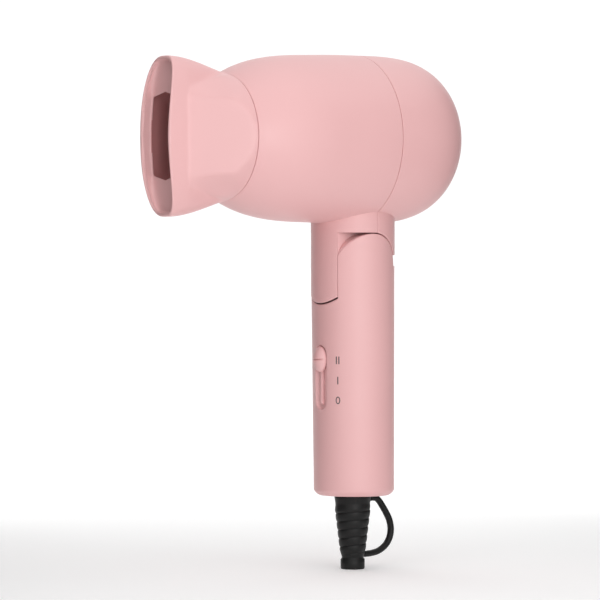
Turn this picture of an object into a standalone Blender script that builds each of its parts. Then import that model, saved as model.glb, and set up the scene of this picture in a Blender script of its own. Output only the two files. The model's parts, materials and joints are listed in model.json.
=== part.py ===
"""Folding travel hair dryer: barrel, rear cover, concentrator nozzle, folding handle, switch, heater, motor and fan.
Metres, +Z up. Parts are laid out about the point where the barrel axis meets the handle axis, nozzle towards -X,
and the whole model is moved at the end so that the middle of the bottom of its box is at the origin."""

import math

import bmesh
import bpy
import numpy as np
from mathutils import Vector

# Overall
BARREL_R = 0.038          # outside radius of the barrel at the seam
SEAM_FRONT = -0.0714      # X of the joint between nozzle and barrel
FRONT_DROP = 0.0098       # how much the barrel narrows to its front end
FRONT_EASE = 0.0004       # the part of it that comes just ahead of the seam
REAR_REACH = 0.0500       # X of the rear tip
NOZZLE_REACH = 0.1076     # -X of the middle of the nozzle mouth
HANDLE_BOTTOM = -0.1610   # Z of the handle's lower end
RELIEF_LENGTH = 0.0337    # from the handle's lower end to the strain relief's
TAIL_BOTTOM = HANDLE_BOTTOM - RELIEF_LENGTH
WALL = 0.0020
GAP = 0.0003              # clearance between pieces that touch

# Neck, hinge and handle
NECK_R = 0.0190
HANDLE_R = NECK_R - 0.0001
HANDLE_TAPER = 0.0007     # radius lost from the hinge to the bottom
NECK_CUT = -0.0422        # Z of the front half's lower edge
NECK_REAR = -0.0524       # Z of the rear half's lower edge
PIVOT_X, PIVOT_Z = -0.0023, -0.0572
DOME_R = 0.0146           # rounded top of the cheeks, about the pivot
TONGUE_HALF = 0.0100      # half width of the tongue
TONGUE_WALL = 0.0024
PIN_R = 0.0022
BUSH_R, EAR_R = PIN_R + 0.0014, PIN_R + 0.0038
LEAD_R = 0.0009
LEAD_Y = (-0.0063, 0.0042, 0.0063)

# Nozzle
MOUTH_HALF_Z, MOUTH_HALF_Y = 0.03525, 0.01185
MOUTH_CURVE = 0.0019      # how far the mouth's ends lie behind its middle
NOZZLE_WALL = 0.0018
THROAT_X, THROAT_HALF_Z, THROAT_HALF_Y = -0.1026, 0.0204, 0.0090
PANEL_END = 0.725         # share of the nozzle's length that its flat side panels cover
PANEL_HALF_Y = 0.0122     # half width across the panels there
SPIGOT_END, SPIGOT_WALL = -0.0648, 0.0021
RING_X, GROOVE = (-0.0690, -0.0678), 0.0012  # snap ring in its groove round the spigot

# Switch
RECESS_TOP, RECESS_BOTTOM, RECESS_HALF = -0.0928, -0.1222, 0.0043
KNOB_HALF_Z, KNOB_HALF_Y, KNOB_OUT = 0.0058, 0.0039, 0.0022
KNOB_Z = RECESS_TOP - KNOB_HALF_Z - 0.0006
SWITCH_TRAVEL = (RECESS_TOP - RECESS_BOTTOM) - 2 * KNOB_HALF_Z - 0.0012
STEM_HALF_Z, STEM_HALF_Y = 0.0030, 0.0012

# Rear grille, fan, motor and heater
LIP_WALL = 0.0018         # lip of the rear cover that enters the front half
GRILLE_R = BARREL_R - 0.0140
SEAT_X = REAR_REACH - 0.0090  # face that the grille seats on
FAN_R = BARREL_R - WALL - 0.0050
FAN_X, FAN_LENGTH, BLADES = 0.0175, 0.0085, 7
MOTOR_R, MOTOR_X = 0.0120, (-0.0120, 0.0120)
SHAFT_R = 0.0010
MOUNT_R, MOUNT_X = BARREL_R - WALL - LIP_WALL - GAP, (-0.0060, 0.0130)
HEATER_X = (-0.0575, -0.0155)
BOARD_R, BOARD_T = 0.0200, 0.0008
COIL_R, WIRE_R = 0.0213, 0.00045
LINER_R = 0.0245

# Strain relief and hang loop
RELIEF_TOP_R, RELIEF_TAIL_R, CORD_R = 0.0083, 0.0055, 0.0036
RIDGE, RIDGE_PITCH = 0.0006, 0.0040
LOOP_R = 0.0014

PINK, BLACK, DARK = (0.80, 0.42, 0.43), (0.02, 0.02, 0.022), (0.06, 0.06, 0.065)
STEEL, MICA, COPPER, WHITE = (0.6, 0.6, 0.62), (0.62, 0.55, 0.42), (0.7, 0.35, 0.2), (0.75, 0.75, 0.72)

for old in list(bpy.data.objects):
    bpy.data.objects.remove(old, do_unlink=True)
PARTS = bpy.data.collections.new("hair_dryer")
CUTTERS = bpy.data.collections.new("cutters")
for group in (PARTS, CUTTERS):
    bpy.context.scene.collection.children.link(group)
CUTTERS.hide_render = True


def add(name, verts, faces, colour=None, origin=(0, 0, 0)):
    """A mesh object, in the parts with a colour or in the cutters without one, its normals outward."""
    mesh = bpy.data.meshes.new(name)
    mesh.from_pydata([tuple(Vector(v) - Vector(origin)) for v in verts], [], faces)
    shell = bmesh.new()
    shell.from_mesh(mesh)
    bmesh.ops.recalc_face_normals(shell, faces=shell.faces)
    shell.to_mesh(mesh)
    shell.free()
    obj = bpy.data.objects.new(name, mesh)
    obj.location = origin
    return place(obj, colour)


def place(obj, colour):
    (CUTTERS if colour is None else PARTS).objects.link(obj)
    if colour is None:
        obj.hide_render = True
        obj.display_type = "WIRE"
        return obj
    paint = bpy.data.materials.new(obj.name)
    paint.use_nodes = True
    paint.node_tree.nodes["Principled BSDF"].inputs["Base Color"].default_value = (*colour, 1)
    paint.node_tree.nodes["Principled BSDF"].inputs["Roughness"].default_value = 0.45
    paint.diffuse_color = (*colour, 1)
    obj.data.materials.append(paint)
    return obj


def revolve(name, profile, axis, colour=None, at=(0, 0, 0), steps=48):
    """Turns a closed (radius, height) outline about an axis; the outline may touch the axis."""
    area = sum(a[0] * b[1] - b[0] * a[1] for a, b in zip(profile, profile[1:] + profile[:1]))
    outline = profile if area < 0 else profile[::-1]
    on_axis = [i for i, p in enumerate(outline) if p[0] == 0]
    edges = [(i, (i + 1) % len(outline)) for i in range(len(outline))]
    edges = [e for e in edges if not (e[0] in on_axis and e[1] in on_axis)]
    mesh = bpy.data.meshes.new(name)
    mesh.from_pydata([(r, 0, h) for r, h in outline], edges, [])
    obj = bpy.data.objects.new(name, mesh)
    turn = obj.modifiers.new("Screw", "SCREW")
    turn.axis = "Z"
    turn.steps = turn.render_steps = steps
    turn.use_merge_vertices = True
    turn.merge_threshold = 1e-6
    turn.use_smooth_shade = False
    obj.rotation_euler = {"Z": (0, 0, 0), "X": (0, math.pi / 2, 0), "Y": (-math.pi / 2, 0, 0)}[axis]
    obj.location = at
    return place(obj, colour)


def prism(name, outline, axis, low, high, colour=None, origin=(0, 0, 0)):
    """Extrudes an outline: (y, z) along X, (x, z) along Y or (x, y) along Z."""
    put = {"X": lambda a, b, h: (h, a, b), "Y": lambda a, b, h: (a, h, b), "Z": lambda a, b, h: (a, b, h)}[axis]
    n = len(outline)
    verts = [put(a, b, h) for h in (low, high) for a, b in outline]
    faces = [tuple(range(n)), tuple(range(2 * n - 1, n - 1, -1))]
    faces += [(i, (i + 1) % n, n + (i + 1) % n, n + i) for i in range(n)]
    return add(name, verts, faces, colour, origin)


def box(name, x, y, z, colour=None, origin=(0, 0, 0)):
    return prism(name, [(x[0], y[0]), (x[1], y[0]), (x[1], y[1]), (x[0], y[1])], "Z", *z, colour, origin)


def boxes(name, spans, colour=None):
    """Several separate boxes in one mesh, each span ((x0, x1), (y0, y1), (z0, z1))."""
    verts, faces = [], []
    for x, y, z in spans:
        k = len(verts)
        verts += [(a, b, c) for c in z for a, b in ((x[0], y[0]), (x[1], y[0]), (x[1], y[1]), (x[0], y[1]))]
        faces += [tuple(k + i for i in f) for f in
                  ((3, 2, 1, 0), (4, 5, 6, 7), (0, 1, 5, 4), (1, 2, 6, 5), (2, 3, 7, 6), (3, 0, 4, 7))]
    return add(name, verts, faces, colour)


def rod(name, axis, centre, radius, low, high, colour=None, sides=20):
    """A plain cylinder along an axis; centre holds its other two coordinates."""
    ring = [(centre[0] + radius * math.cos(a), centre[1] + radius * math.sin(a)) for a in circle(sides)]
    return prism(name, ring, axis, low, high, colour)


def circle(n):
    return [2 * math.pi * i / n for i in range(n)]


def loft(name, rings, colour=None, origin=(0, 0, 0), closed=False):
    """Skins rings of equal length; capped at both ends, or joined end to end when closed."""
    n, m = len(rings[0]), len(rings)
    verts = [p for ring in rings for p in ring]
    faces = []
    for j in range(m if closed else m - 1):
        k = (j + 1) % m
        faces += [(j * n + i, j * n + (i + 1) % n, k * n + (i + 1) % n, k * n + i) for i in range(n)]
    if not closed:
        faces += [tuple(range(n)), tuple(range((m - 1) * n, m * n))]
    return add(name, verts, faces, colour, origin)


def sweep(name, points, radius, colour=None, sides=8, origin=(0, 0, 0)):
    """A round wire along a path of points."""
    path = [Vector(p) for p in points]
    rings, side = [], None
    for i, p in enumerate(path):
        ahead = (path[min(i + 1, len(path) - 1)] - path[max(i - 1, 0)]).normalized()
        guess = side if side is not None else ahead.orthogonal()
        side = (guess - ahead * guess.dot(ahead)).normalized()
        other = ahead.cross(side)
        rings.append([p + radius * (math.cos(a) * side + math.sin(a) * other) for a in circle(sides)])
    return loft(name, rings, colour, origin)


def smooth_path(points, per):
    """Catmull-Rom through the points, with that many steps between neighbours."""
    pts = [np.array(p, float) for p in points]
    pts = [2 * pts[0] - pts[1]] + pts + [2 * pts[-1] - pts[-2]]
    out = []
    for a, b, c, d in zip(pts, pts[1:], pts[2:], pts[3:]):
        for t in np.arange(per) / per:
            out.append(0.5 * (2 * b + (c - a) * t + (2 * a - 5 * b + 4 * c - d) * t**2
                              + (3 * b - a - 3 * c + d) * t**3))
    return [tuple(p) for p in out + [pts[-2]]]


def boolean(obj, other, operation):
    step = obj.modifiers.new(operation.title(), "BOOLEAN")
    step.operation, step.object, step.solver = operation, other, "EXACT"


def cut(obj, *others):
    for other in others:
        boolean(obj, other, "DIFFERENCE")


def join(obj, *others):
    for other in others:
        boolean(obj, other, "UNION")


def barrel_radius(x):
    """Outside radius of the front housing: a slight early fall, then a fourth-power fall to the nozzle."""
    t = max(0.0, (-0.008 - x) / (-0.008 - SEAM_FRONT))
    ease = min(1.0, t / 0.35)
    return BARREL_R - FRONT_EASE * ease**2 * (3 - 2 * ease) - (FRONT_DROP - FRONT_EASE) * t**4


def cover_x(r, reach, radius):
    """X of the rear cover's rounded end at radius r."""
    return reach * max(0.0, 1 - (r / radius) ** 2) ** (1 / 3.7)


def half_disc(radius, side, n=20):
    """The half of a disc on the -X (side -1) or +X (side 1) side of the parting plane."""
    start = math.asin(GAP / 2 / radius)
    angles = np.linspace(-math.pi / 2 + start, math.pi / 2 - start, n)
    return [(side * radius * math.cos(a), radius * math.sin(a)) for a in angles]


def tongue():
    """Channel that hangs from the neck between the handle's cheeks, with the ears that hold the pins."""
    arc = np.linspace(-TONGUE_HALF, TONGUE_HALF, 9)
    inner = TONGUE_HALF - TONGUE_WALL
    back = -GAP / 2
    plan = [(-math.sqrt(NECK_R**2 - y**2), y) for y in arc]
    plan += [(back, TONGUE_HALF), (back, inner)]
    plan += [(-math.sqrt((NECK_R - 0.0022) ** 2 - y**2), y) for y in np.linspace(inner, -inner, 7)]
    plan += [(back, -inner), (back, -TONGUE_HALF)]
    body = prism("tongue", plan, "Z", -0.080, -(BARREL_R - 0.0011))
    wide = np.linspace(-TONGUE_HALF - 0.001, TONGUE_HALF + 0.001, 13)
    below = [(y, PIVOT_Z - math.sqrt(NECK_R**2 - y**2) - PIVOT_X) for y in wide]
    below += [(wide[-1], -0.09), (wide[0], -0.09)]
    cut(body, prism("tongue_end", below, "X", -0.03, 0.01))
    for sign in (-1, 1):
        low, high = sorted((sign * inner, sign * TONGUE_HALF))
        ear = rod(f"ear_{sign + 1}", "Y", (PIVOT_X, PIVOT_Z), EAR_R, low, high, sides=28)
        join(body, ear)
    join(body, box("screw_rib", (-NECK_R + 0.0012, back), (-0.0030, 0.0030), (-0.0502, -0.0434)))
    cut(body, rod("bush_bore", "Y", (PIVOT_X, PIVOT_Z), BUSH_R + GAP, -0.02, 0.02))
    cut(body, rod("rib_bore", "X", (0, -0.0468), 0.0013, -0.012, 0.01, sides=12))
    return body


def barrel_housing():
    """Front half of the barrel with its half of the neck and the tongue of the hinge."""
    xs = [SEAM_FRONT, -0.068, -0.064, -0.059, -0.053, -0.047, -0.040, -0.031, -0.020, -0.008]
    outer = [(barrel_radius(x), x) for x in xs] + [(BARREL_R, -GAP / 2)]
    inner = [(r - WALL, x) for r, x in outer[::-1]]
    shell = revolve("barrel_housing", outer + inner, "X", PINK, steps=44)
    neck = prism("neck_front", half_disc(NECK_R, -1), "Z", NECK_CUT, -0.025)
    inside = [(0, inner[0][1] + 0.002), (inner[0][0], inner[0][1] + 0.002)] + inner[1:-1] + [(0, inner[-2][1])]
    cavity = revolve("barrel_cavity", inside, "X", steps=44)
    bore = rod("neck_bore", "Z", (0, 0), NECK_R - WALL, -0.06, -0.025, sides=36)
    join(shell, neck)
    cut(shell, cavity, bore)
    join(shell, tongue())
    return shell, bore


def rear_cover(bore):
    """Rear half of the barrel and neck, with a lip that enters the front half and a seat for the grille."""
    front = GAP / 2
    radii = [GRILLE_R] + [GRILLE_R + (BARREL_R - GRILLE_R) * k for k in (0.214, 0.429, 0.607, 0.750, 0.857, 0.936)]
    outer = [(r, cover_x(r, REAR_REACH, BARREL_R)) for r in radii] + [(BARREL_R, front)]
    inner_r = BARREL_R - WALL
    start = GRILLE_R + 0.0015
    radii = [start + (inner_r - start) * k for k in (0, 0.333, 0.619, 0.819, 0.943)]
    inner = [(r, cover_x(r, REAR_REACH - WALL, inner_r)) for r in radii]
    seat = [(GRILLE_R, SEAT_X), (GRILLE_R - 0.0025, SEAT_X), (GRILLE_R - 0.0025, SEAT_X - 0.0018),
            (start, SEAT_X - 0.0018)]
    lip_r = inner_r - LIP_WALL
    lip = [(lip_r, 0.0040), (lip_r, -0.0035), (inner_r - GAP, -0.0035), (inner_r - GAP, front)]
    shell = revolve("rear_cover", outer[::-1] + seat + inner + lip, "X", PINK, steps=44)
    join(shell, prism("neck_rear", half_disc(NECK_R, 1), "Z", NECK_REAR, -0.025))
    inside = [(0, SEAT_X - 0.0025), (start - 0.002, SEAT_X - 0.0025)] + inner[1:]
    inside += [(lip_r - 0.0001, 0.0040), (lip_r - 0.0001, -0.005), (0, -0.005)]
    cut(shell, revolve("cover_cavity", inside, "X", steps=44), bore)
    for sign in (-1, 1):
        low, high = sorted((sign * (TONGUE_HALF - 0.0002), sign * 0.022))
        cut(shell, rod(f"dome_room_{sign + 1}", "Y", (PIVOT_X, PIVOT_Z), DOME_R + 0.0005, low, high, sides=48))
    join(shell, rod("screw_post", "X", (0, -0.0468), 0.0036, front, NECK_R - 0.0012))
    cut(shell, rod("post_bore", "X", (0, -0.0468), 0.0013, -0.001, 0.022, sides=12))
    cut(shell, rod("post_head", "X", (0, -0.0468), 0.0026, 0.0150, 0.022))
    return shell


def superellipse(angle, half_y, half_z, power):
    """Distance from the centre to a rounded rectangle, at an angle from +Y."""
    c, s = abs(math.cos(angle)) / half_y, abs(math.sin(angle)) / half_z
    return (c**power + s**power) ** (-1 / power)


def nozzle_ring(x, radius, n=44):
    """One ring of the nozzle; the mouth end follows the curve of the rim."""
    ring = []
    reach = (x - SEAM_FRONT) / (-NOZZLE_REACH - SEAM_FRONT)
    for a in circle(n):
        r = radius(a)
        z = r * math.sin(a)
        bow = MOUTH_CURVE * max(0.0, min(1.0, reach)) ** 2 * (z / MOUTH_HALF_Z) ** 2
        ring.append((x + bow, r * math.cos(a), z))
    return ring


def concentrator_nozzle():
    """Round spigot that plugs into the barrel, blending to a tall narrow mouth with wings."""
    r0 = barrel_radius(SEAM_FRONT) + 0.00002

    def outside(t):
        """Flat side panels with sloping shoulders, blended from the round seam, joined to the mouth's tall wing."""
        s = min(1.0, t / PANEL_END)
        shrink = 1 - 0.5 * max(0.0, t - PANEL_END) / (1 - PANEL_END)
        side, top = r0 * 1.03 - (r0 * 1.03 - PANEL_HALF_Y) * s, r0 * 1.03 - (r0 * 1.03 - 0.0220) * s
        edge_z, wing_at = 0.0150 + 0.0035 * s, (0.0081 + 0.0034 * s, 0.0270 - 0.0050 * s)
        slope = (wing_at[1] - edge_z, side - wing_at[0])
        ease = min(1.0, t / 0.5) ** 2 * (3 - 2 * min(1.0, t / 0.5))
        reach = (slope[0] * side + slope[1] * edge_z) * (1.06 - 0.06 * ease)
        wing_y = 0.0085 + (MOUTH_HALF_Y - 0.0085) * min(1.0, 1.35 * t) ** 0.8
        wing_z = r0 + (MOUTH_HALF_Z - r0) * math.sin(t * math.pi / 2)

        def radius(a):
            c, d = max(1e-6, abs(math.cos(a))), max(1e-6, abs(math.sin(a)))
            flats = ((c / side) ** 60 + ((slope[0] * c + slope[1] * d) / reach) ** 60 + (d / top) ** 60) * r0**60
            body = shrink * r0 * (1 + flats) ** (-1 / 60)
            wing = superellipse(a, wing_y, wing_z, 2.6)
            high = max(body, wing)
            return high * ((body / high) ** 60 + (wing / high) ** 60) ** (1 / 60) if t > 0 else r0
        return radius

    def inside(half_y, half_z, power):
        return lambda a: superellipse(a, half_y, half_z, power)

    seam = SEAM_FRONT - GAP
    plug, groove = r0 - WALL - GAP, r0 - WALL - GAP - GROOVE
    rings = [nozzle_ring(x, lambda a, r=r: r) for x, r in
             ((SPIGOT_END, plug - SPIGOT_WALL), (SPIGOT_END, plug), (RING_X[1] + GAP, plug), (RING_X[1] + GAP, groove),
              (RING_X[0] - GAP, groove), (RING_X[0] - GAP, plug), (seam, plug))]
    span = -NOZZLE_REACH - seam
    rings += [nozzle_ring(seam + span * t, outside(t)) for t in (0, 0.1, 0.22, 0.36, 0.5, 0.64, 0.73, 0.78, 0.88, 1)]
    mouth_y, mouth_z = MOUTH_HALF_Y - NOZZLE_WALL, MOUTH_HALF_Z - NOZZLE_WALL
    rings += [nozzle_ring(-NOZZLE_REACH + (THROAT_X + NOZZLE_REACH) * u,
                          inside(mouth_y + (THROAT_HALF_Y - mouth_y) * v, mouth_z + (THROAT_HALF_Z - mouth_z) * v,
                                 2.6 + 2.4 * v)) for u, v in ((0, 0), (0.55, 0.15), (0.85, 0.5), (1, 1))]
    rings.append(nozzle_ring(THROAT_X + 0.0020, inside(THROAT_HALF_Y, THROAT_HALF_Z, 5)))
    rings.append(nozzle_ring(-0.0850, inside(r0 * 0.58, r0 * 0.76, 3)))
    rings.append(nozzle_ring(-0.0716, lambda a: plug - SPIGOT_WALL - 0.0008))
    return loft("concentrator_nozzle", rings, PINK, closed=True)


def snap_ring():
    """Split-free spring ring in the spigot's groove: it holds the nozzle in the barrel and lets it turn."""
    plug = barrel_radius(SEAM_FRONT) - WALL - GAP
    revolve("nozzle_snap_ring", [(plug - GROOVE + 2 * GAP, RING_X[0]), (plug - GROOVE + 2 * GAP, RING_X[1]),
                                 (plug, RING_X[1]), (plug, RING_X[0])], "X", STEEL, steps=36)


def handle_ring(z, inset=0.0, n=44, low=0.0, high=2 * math.pi, full=True):
    """Ring of the handle's outside: it tapers at the front only, so its rear line is upright."""
    fall = (z - PIVOT_Z) / (HANDLE_BOTTOM - PIVOT_Z)
    r = HANDLE_R - HANDLE_TAPER * min(1.0, max(0.0, fall))
    x = HANDLE_R - r
    angles = np.linspace(low, high, n, endpoint=not full)
    return [(x + (r - inset) * math.cos(a), (r - inset) * math.sin(a), z) for a in angles]


def tongue_room():
    """Space the tongue sweeps in the handle as it folds: a turned shape about the pivot that clears its curved end."""
    half = TONGUE_HALF + GAP
    ys = np.linspace(-half, half, 9)
    rim = [(math.sqrt(2) * (math.sqrt(NECK_R**2 - y**2) + PIVOT_X) + 0.00035, y) for y in ys]
    room = revolve("tongue_room", [(0, -half)] + rim + [(0, half)], "Y", at=(PIVOT_X, 0, PIVOT_Z), steps=48)
    cut(room, box("rear_keep", (HANDLE_R - 0.0040, 0.04), (-0.02, 0.02), (-0.09, -0.03)))
    return room


def handle_shell():
    """Handle tube with two domed cheeks for the hinge, the switch recess, inner posts and a rear window."""
    stations = [(-0.0380, 0), (-0.090, 0), (-0.125, 0), (HANDLE_BOTTOM + 0.0025, 0), (HANDLE_BOTTOM + 0.0008, 0.0006),
                (HANDLE_BOTTOM, 0.0020)]
    shell = loft("handle_shell", [handle_ring(z, i) for z, i in stations], PINK, (PIVOT_X, 0, PIVOT_Z))
    crown = box("crown", (-0.03, 0.03), (-0.03, 0.03), (PIVOT_Z, -0.030))
    cut(crown, rod("dome", "Y", (PIVOT_X, PIVOT_Z), DOME_R, -0.04, 0.04, sides=52))
    cut(shell, crown)
    above = box("slot_top", (-0.03, 0.03), (-TONGUE_HALF - GAP, TONGUE_HALF + GAP), (PIVOT_Z - 0.0001, -0.035))
    cut(shell, above, tongue_room())
    floor = HANDLE_BOTTOM + 0.0025
    cut(shell, loft("handle_cavity", [handle_ring(-0.070, WALL, 36), handle_ring(floor, WALL, 36)]))
    join(shell, box("switch_pad", (-0.0166, -0.0142), (-0.0065, 0.0065), (-0.1250, -0.0900)))
    for i, z in enumerate(POSTS_Z):
        join(shell, rod(f"post_{i}", "X", (0, z), 0.0030, -0.0166, HANDLE_R - WALL - GAP, sides=16))
        cut(shell, rod(f"post_hole_{i}", "X", (0, z), 0.0013, 0.0080, 0.02, sides=12))
    for i, y in enumerate(CLAMP_Y):
        join(shell, rod(f"clamp_post_{i}", "X", (y, CLAMP_Z), 0.0026, -0.0149, 0.0007, sides=16))
        cut(shell, rod(f"clamp_hole_{i}", "X", (y, CLAMP_Z), 0.0011, -0.0060, 0.002, sides=12))
    cut(shell, box("rear_window", (0.0105, 0.03), (-0.0105, 0.0105), (WINDOW_Z[0], WINDOW_Z[1])))
    cut(shell, switch_recess(), box("stem_slot", (-0.022, -0.0130), (-STEM_HALF_Y - GAP, STEM_HALF_Y + GAP),
                                    (KNOB_Z - SWITCH_TRAVEL - STEM_HALF_Z - 2 * GAP, KNOB_Z + STEM_HALF_Z + 2 * GAP)))
    cut(shell, rod("relief_hole", "Z", (0, 0), RELIEF_NECK + GAP, HANDLE_BOTTOM - 0.001, floor + 0.001, sides=32))
    cut(shell, rod("cheek_bores", "Y", (PIVOT_X, PIVOT_Z), PIN_R + GAP, -0.0158, 0.0158))
    return shell


WINDOW_Z = (HANDLE_BOTTOM + 0.0110, -0.0820)
POSTS_Z = (WINDOW_Z[1] - 0.0048, WINDOW_Z[0] + 0.0050)
CLAMP_Y, CLAMP_Z = (-0.0065, 0.0065), HANDLE_BOTTOM + 0.0085
RELIEF_NECK = 0.0074


def stadium(x, half_y, top, bottom, n=28):
    """Upright oval outline at X = x."""
    ring = []
    for a in circle(n):
        y, z = half_y * math.cos(a), half_y * math.sin(a)
        ring.append((x, y, z + (top - half_y if z >= 0 else bottom + half_y)))
    return ring


def switch_recess():
    """Shallow oval dish in the front of the handle."""
    front = -HANDLE_R
    rings = [stadium(front - 0.003, RECESS_HALF, RECESS_TOP, RECESS_BOTTOM),
             stadium(front + 0.0001, RECESS_HALF, RECESS_TOP, RECESS_BOTTOM),
             stadium(front + 0.0016, RECESS_HALF - 0.0008, RECESS_TOP - 0.0006, RECESS_BOTTOM + 0.0006)]
    return loft("switch_recess", rings)


def switch_knob():
    """Sliding thumb button: two low lobes with a groove between them, on a stem that passes through the slot."""
    front, ring_n = -HANDLE_R, 28
    rings = []
    for x, scale in ((front + 0.0012, 0.80), (front + 0.0004, 0.86), (front - 0.0004, 0.86),
                     (front - 0.0012, 0.72), (front - 0.0018, 0.45), (front - 0.0020, 0.12)):
        ring = []
        for a in circle(ring_n):
            y, z = KNOB_HALF_Y * scale * math.cos(a), KNOB_HALF_Z * (0.35 + 0.65 * scale) * math.sin(a)
            groove = 0.0007 * math.exp(-(z / 0.0011) ** 2) * (x < front)
            lift = 0.0002 * math.exp(-((abs(z) - 0.0025) / 0.0014) ** 2) * (x < front)
            ring.append((x + groove - lift, y, KNOB_Z + z))
        rings.append(ring)
    knob = loft("switch_knob", rings, PINK, (front, 0, KNOB_Z))
    join(knob, box("stem", (front + 0.0008, -0.0142), (-STEM_HALF_Y, STEM_HALF_Y),
                   (KNOB_Z - STEM_HALF_Z, KNOB_Z + STEM_HALF_Z)))
    return knob


def switch_parts():
    """Slide switch behind the handle's front wall: housing, carrier and three terminals."""
    body = box("switch_body", (-0.0139, -0.0050), (-0.0060, 0.0060), (-0.1250, -0.0900), DARK)
    cut(body, box("switch_room", (-0.0150, -0.0065), (-0.0040, 0.0040), (-0.1235, -0.0915)))
    box("switch_carrier", (-0.0139, -0.0070), (-0.0036, 0.0036), (KNOB_Z - 0.0048, KNOB_Z + 0.0048), WHITE,
        (-HANDLE_R, 0, KNOB_Z))
    for i, z in enumerate((-0.0960, -0.1075, -0.1190)):
        box(f"switch_terminal_{i + 1}", (-0.0050 + GAP, 0.0005), (-0.0020, 0.0020), (z - 0.0004, z + 0.0004), COPPER)


def handle_back_cover():
    """Curved panel that closes the window in the rear of the handle."""
    half = math.asin((0.0105 - GAP) / HANDLE_R)
    rings = []
    for z in np.linspace(WINDOW_Z[0] + GAP, WINDOW_Z[1] - GAP, 5):
        outer = handle_ring(z, 0, 11, -half, half, False)
        inner = handle_ring(z, WALL, 11, half, -half, False)
        limit = 0.0105 - GAP
        rings.append([(x, max(-limit, min(limit, y)), h) for x, y, h in outer + inner])
    panel = loft("handle_back_cover", rings, PINK, (PIVOT_X, 0, PIVOT_Z))
    for i, z in enumerate(POSTS_Z):
        cut(panel, rod(f"panel_hole_{i}", "X", (0, z), 0.0013, 0.010, 0.025, sides=12))
        cut(panel, rod(f"panel_head_{i}", "X", (0, z), 0.0026, HANDLE_R - 0.0011, 0.025))
    return panel


def screw(name, y, z, tip, seat, head_r, shank_r):
    """Pan head screw along X, its head on the +X side of the seat."""
    revolve(name, [(0, tip), (shank_r * 0.5, tip), (shank_r, tip + 0.0008), (shank_r, seat), (head_r, seat),
                   (head_r, seat + 0.0005), (head_r * 0.7, seat + 0.0008), (0, seat + 0.0009)], "X", STEEL,
            (0, y, z), 12)


def strain_relief():
    """Rubber sleeve with a spiral ridge, a bore for the cord and a hang loop moulded on its rear side."""
    top, n = HANDLE_BOTTOM - GAP, 20
    rings = []

    def ring(r, z, ridge=0.0):
        points = []
        for a in circle(n):
            phase = (z / RIDGE_PITCH - a / (2 * math.pi)) % 1.0
            bump = ridge * min(1.0, 1.7 * (1 - abs(2 * phase - 1)))
            points.append(((r + bump) * math.cos(a), (r + bump) * math.sin(a), z))
        rings.append(points)

    flange = HANDLE_BOTTOM + 0.0025 + GAP
    for r, z in ((CORD_R, flange + 0.0022), (RELIEF_NECK + 0.0018, flange + 0.0022), (RELIEF_NECK + 0.0018, flange),
                 (RELIEF_NECK, flange), (RELIEF_NECK, top), (RELIEF_TOP_R - 0.0006, top), (RELIEF_TOP_R, top - 0.0006)):
        ring(r, z)
    start, end = top - 0.0032, TAIL_BOTTOM + 0.0055
    for t in np.linspace(0, 1, 27):
        z = start + (end - start) * t
        ring(RELIEF_TOP_R - 0.0004 + (RELIEF_TAIL_R - RELIEF_TOP_R - 0.0002) * t, z,
             RIDGE * math.sin(math.pi * min(1.0, 6 * t, 6 * (1 - t)) / 2))
    ring(RELIEF_TAIL_R, TAIL_BOTTOM + 0.0030)
    ring(RELIEF_TAIL_R, TAIL_BOTTOM + 0.0005)
    ring(RELIEF_TAIL_R - 0.0005, TAIL_BOTTOM)
    ring(CORD_R, TAIL_BOTTOM)
    relief = loft("strain_relief", rings, BLACK, closed=True)
    path = [(x, HANDLE_BOTTOM - z) for x, z in ((0.0060, 0.0024), (0.0110, 0.0024), (0.0155, 0.0052), (0.0192, 0.0102),
                                                (0.0211, 0.0165), (0.0192, 0.0224), (0.0140, 0.0262))]
    path.append((0.0046, TAIL_BOTTOM + 0.0065))
    loop = sweep("loop_bar", [(x, 0, z) for x, z in smooth_path(path, 4)], LOOP_R, sides=12)
    join(relief, loop)
    join(relief, box("loop_lug", (0.0060, 0.0122), (-0.0022, 0.0022), (HANDLE_BOTTOM - 0.0038, top)))
    return relief


def hinge_parts():
    """Two stub pins in the cheeks, each in a bush pressed into the tongue's ear, which gives the fold its friction."""
    for side, sign in (("left", -1), ("right", 1)):
        low, high = sorted((sign * (TONGUE_HALF - TONGUE_WALL + 0.0001), sign * 0.0155))
        rod(f"hinge_pin_{side}", "Y", (PIVOT_X, PIVOT_Z), PIN_R, low, high, STEEL)
        low, high = sorted((sign * (TONGUE_HALF - TONGUE_WALL), sign * TONGUE_HALF))
        revolve(f"hinge_bush_{side}", [(PIN_R + GAP, low), (PIN_R + GAP, high), (BUSH_R, high), (BUSH_R, low)], "Y",
                WHITE, (PIVOT_X, 0, PIVOT_Z), 20)


def perforated(name, radius, x, pitch, window, limit, colour):
    """Thin disc across the barrel with square windows."""
    disc = rod(name, "X", (0, 0), radius, *x, colour, sides=40)
    count = int(limit / pitch)
    spans = []
    for i in range(-count, count + 1):
        for j in range(-count, count + 1):
            if math.hypot(i * pitch, j * pitch) + window * 0.72 < limit:
                spans.append(((x[0] - 0.001, x[1] + 0.001), (i * pitch - window / 2, i * pitch + window / 2),
                              (j * pitch - window / 2, j * pitch + window / 2)))
    cut(disc, boxes(name + "_windows", spans))


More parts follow.
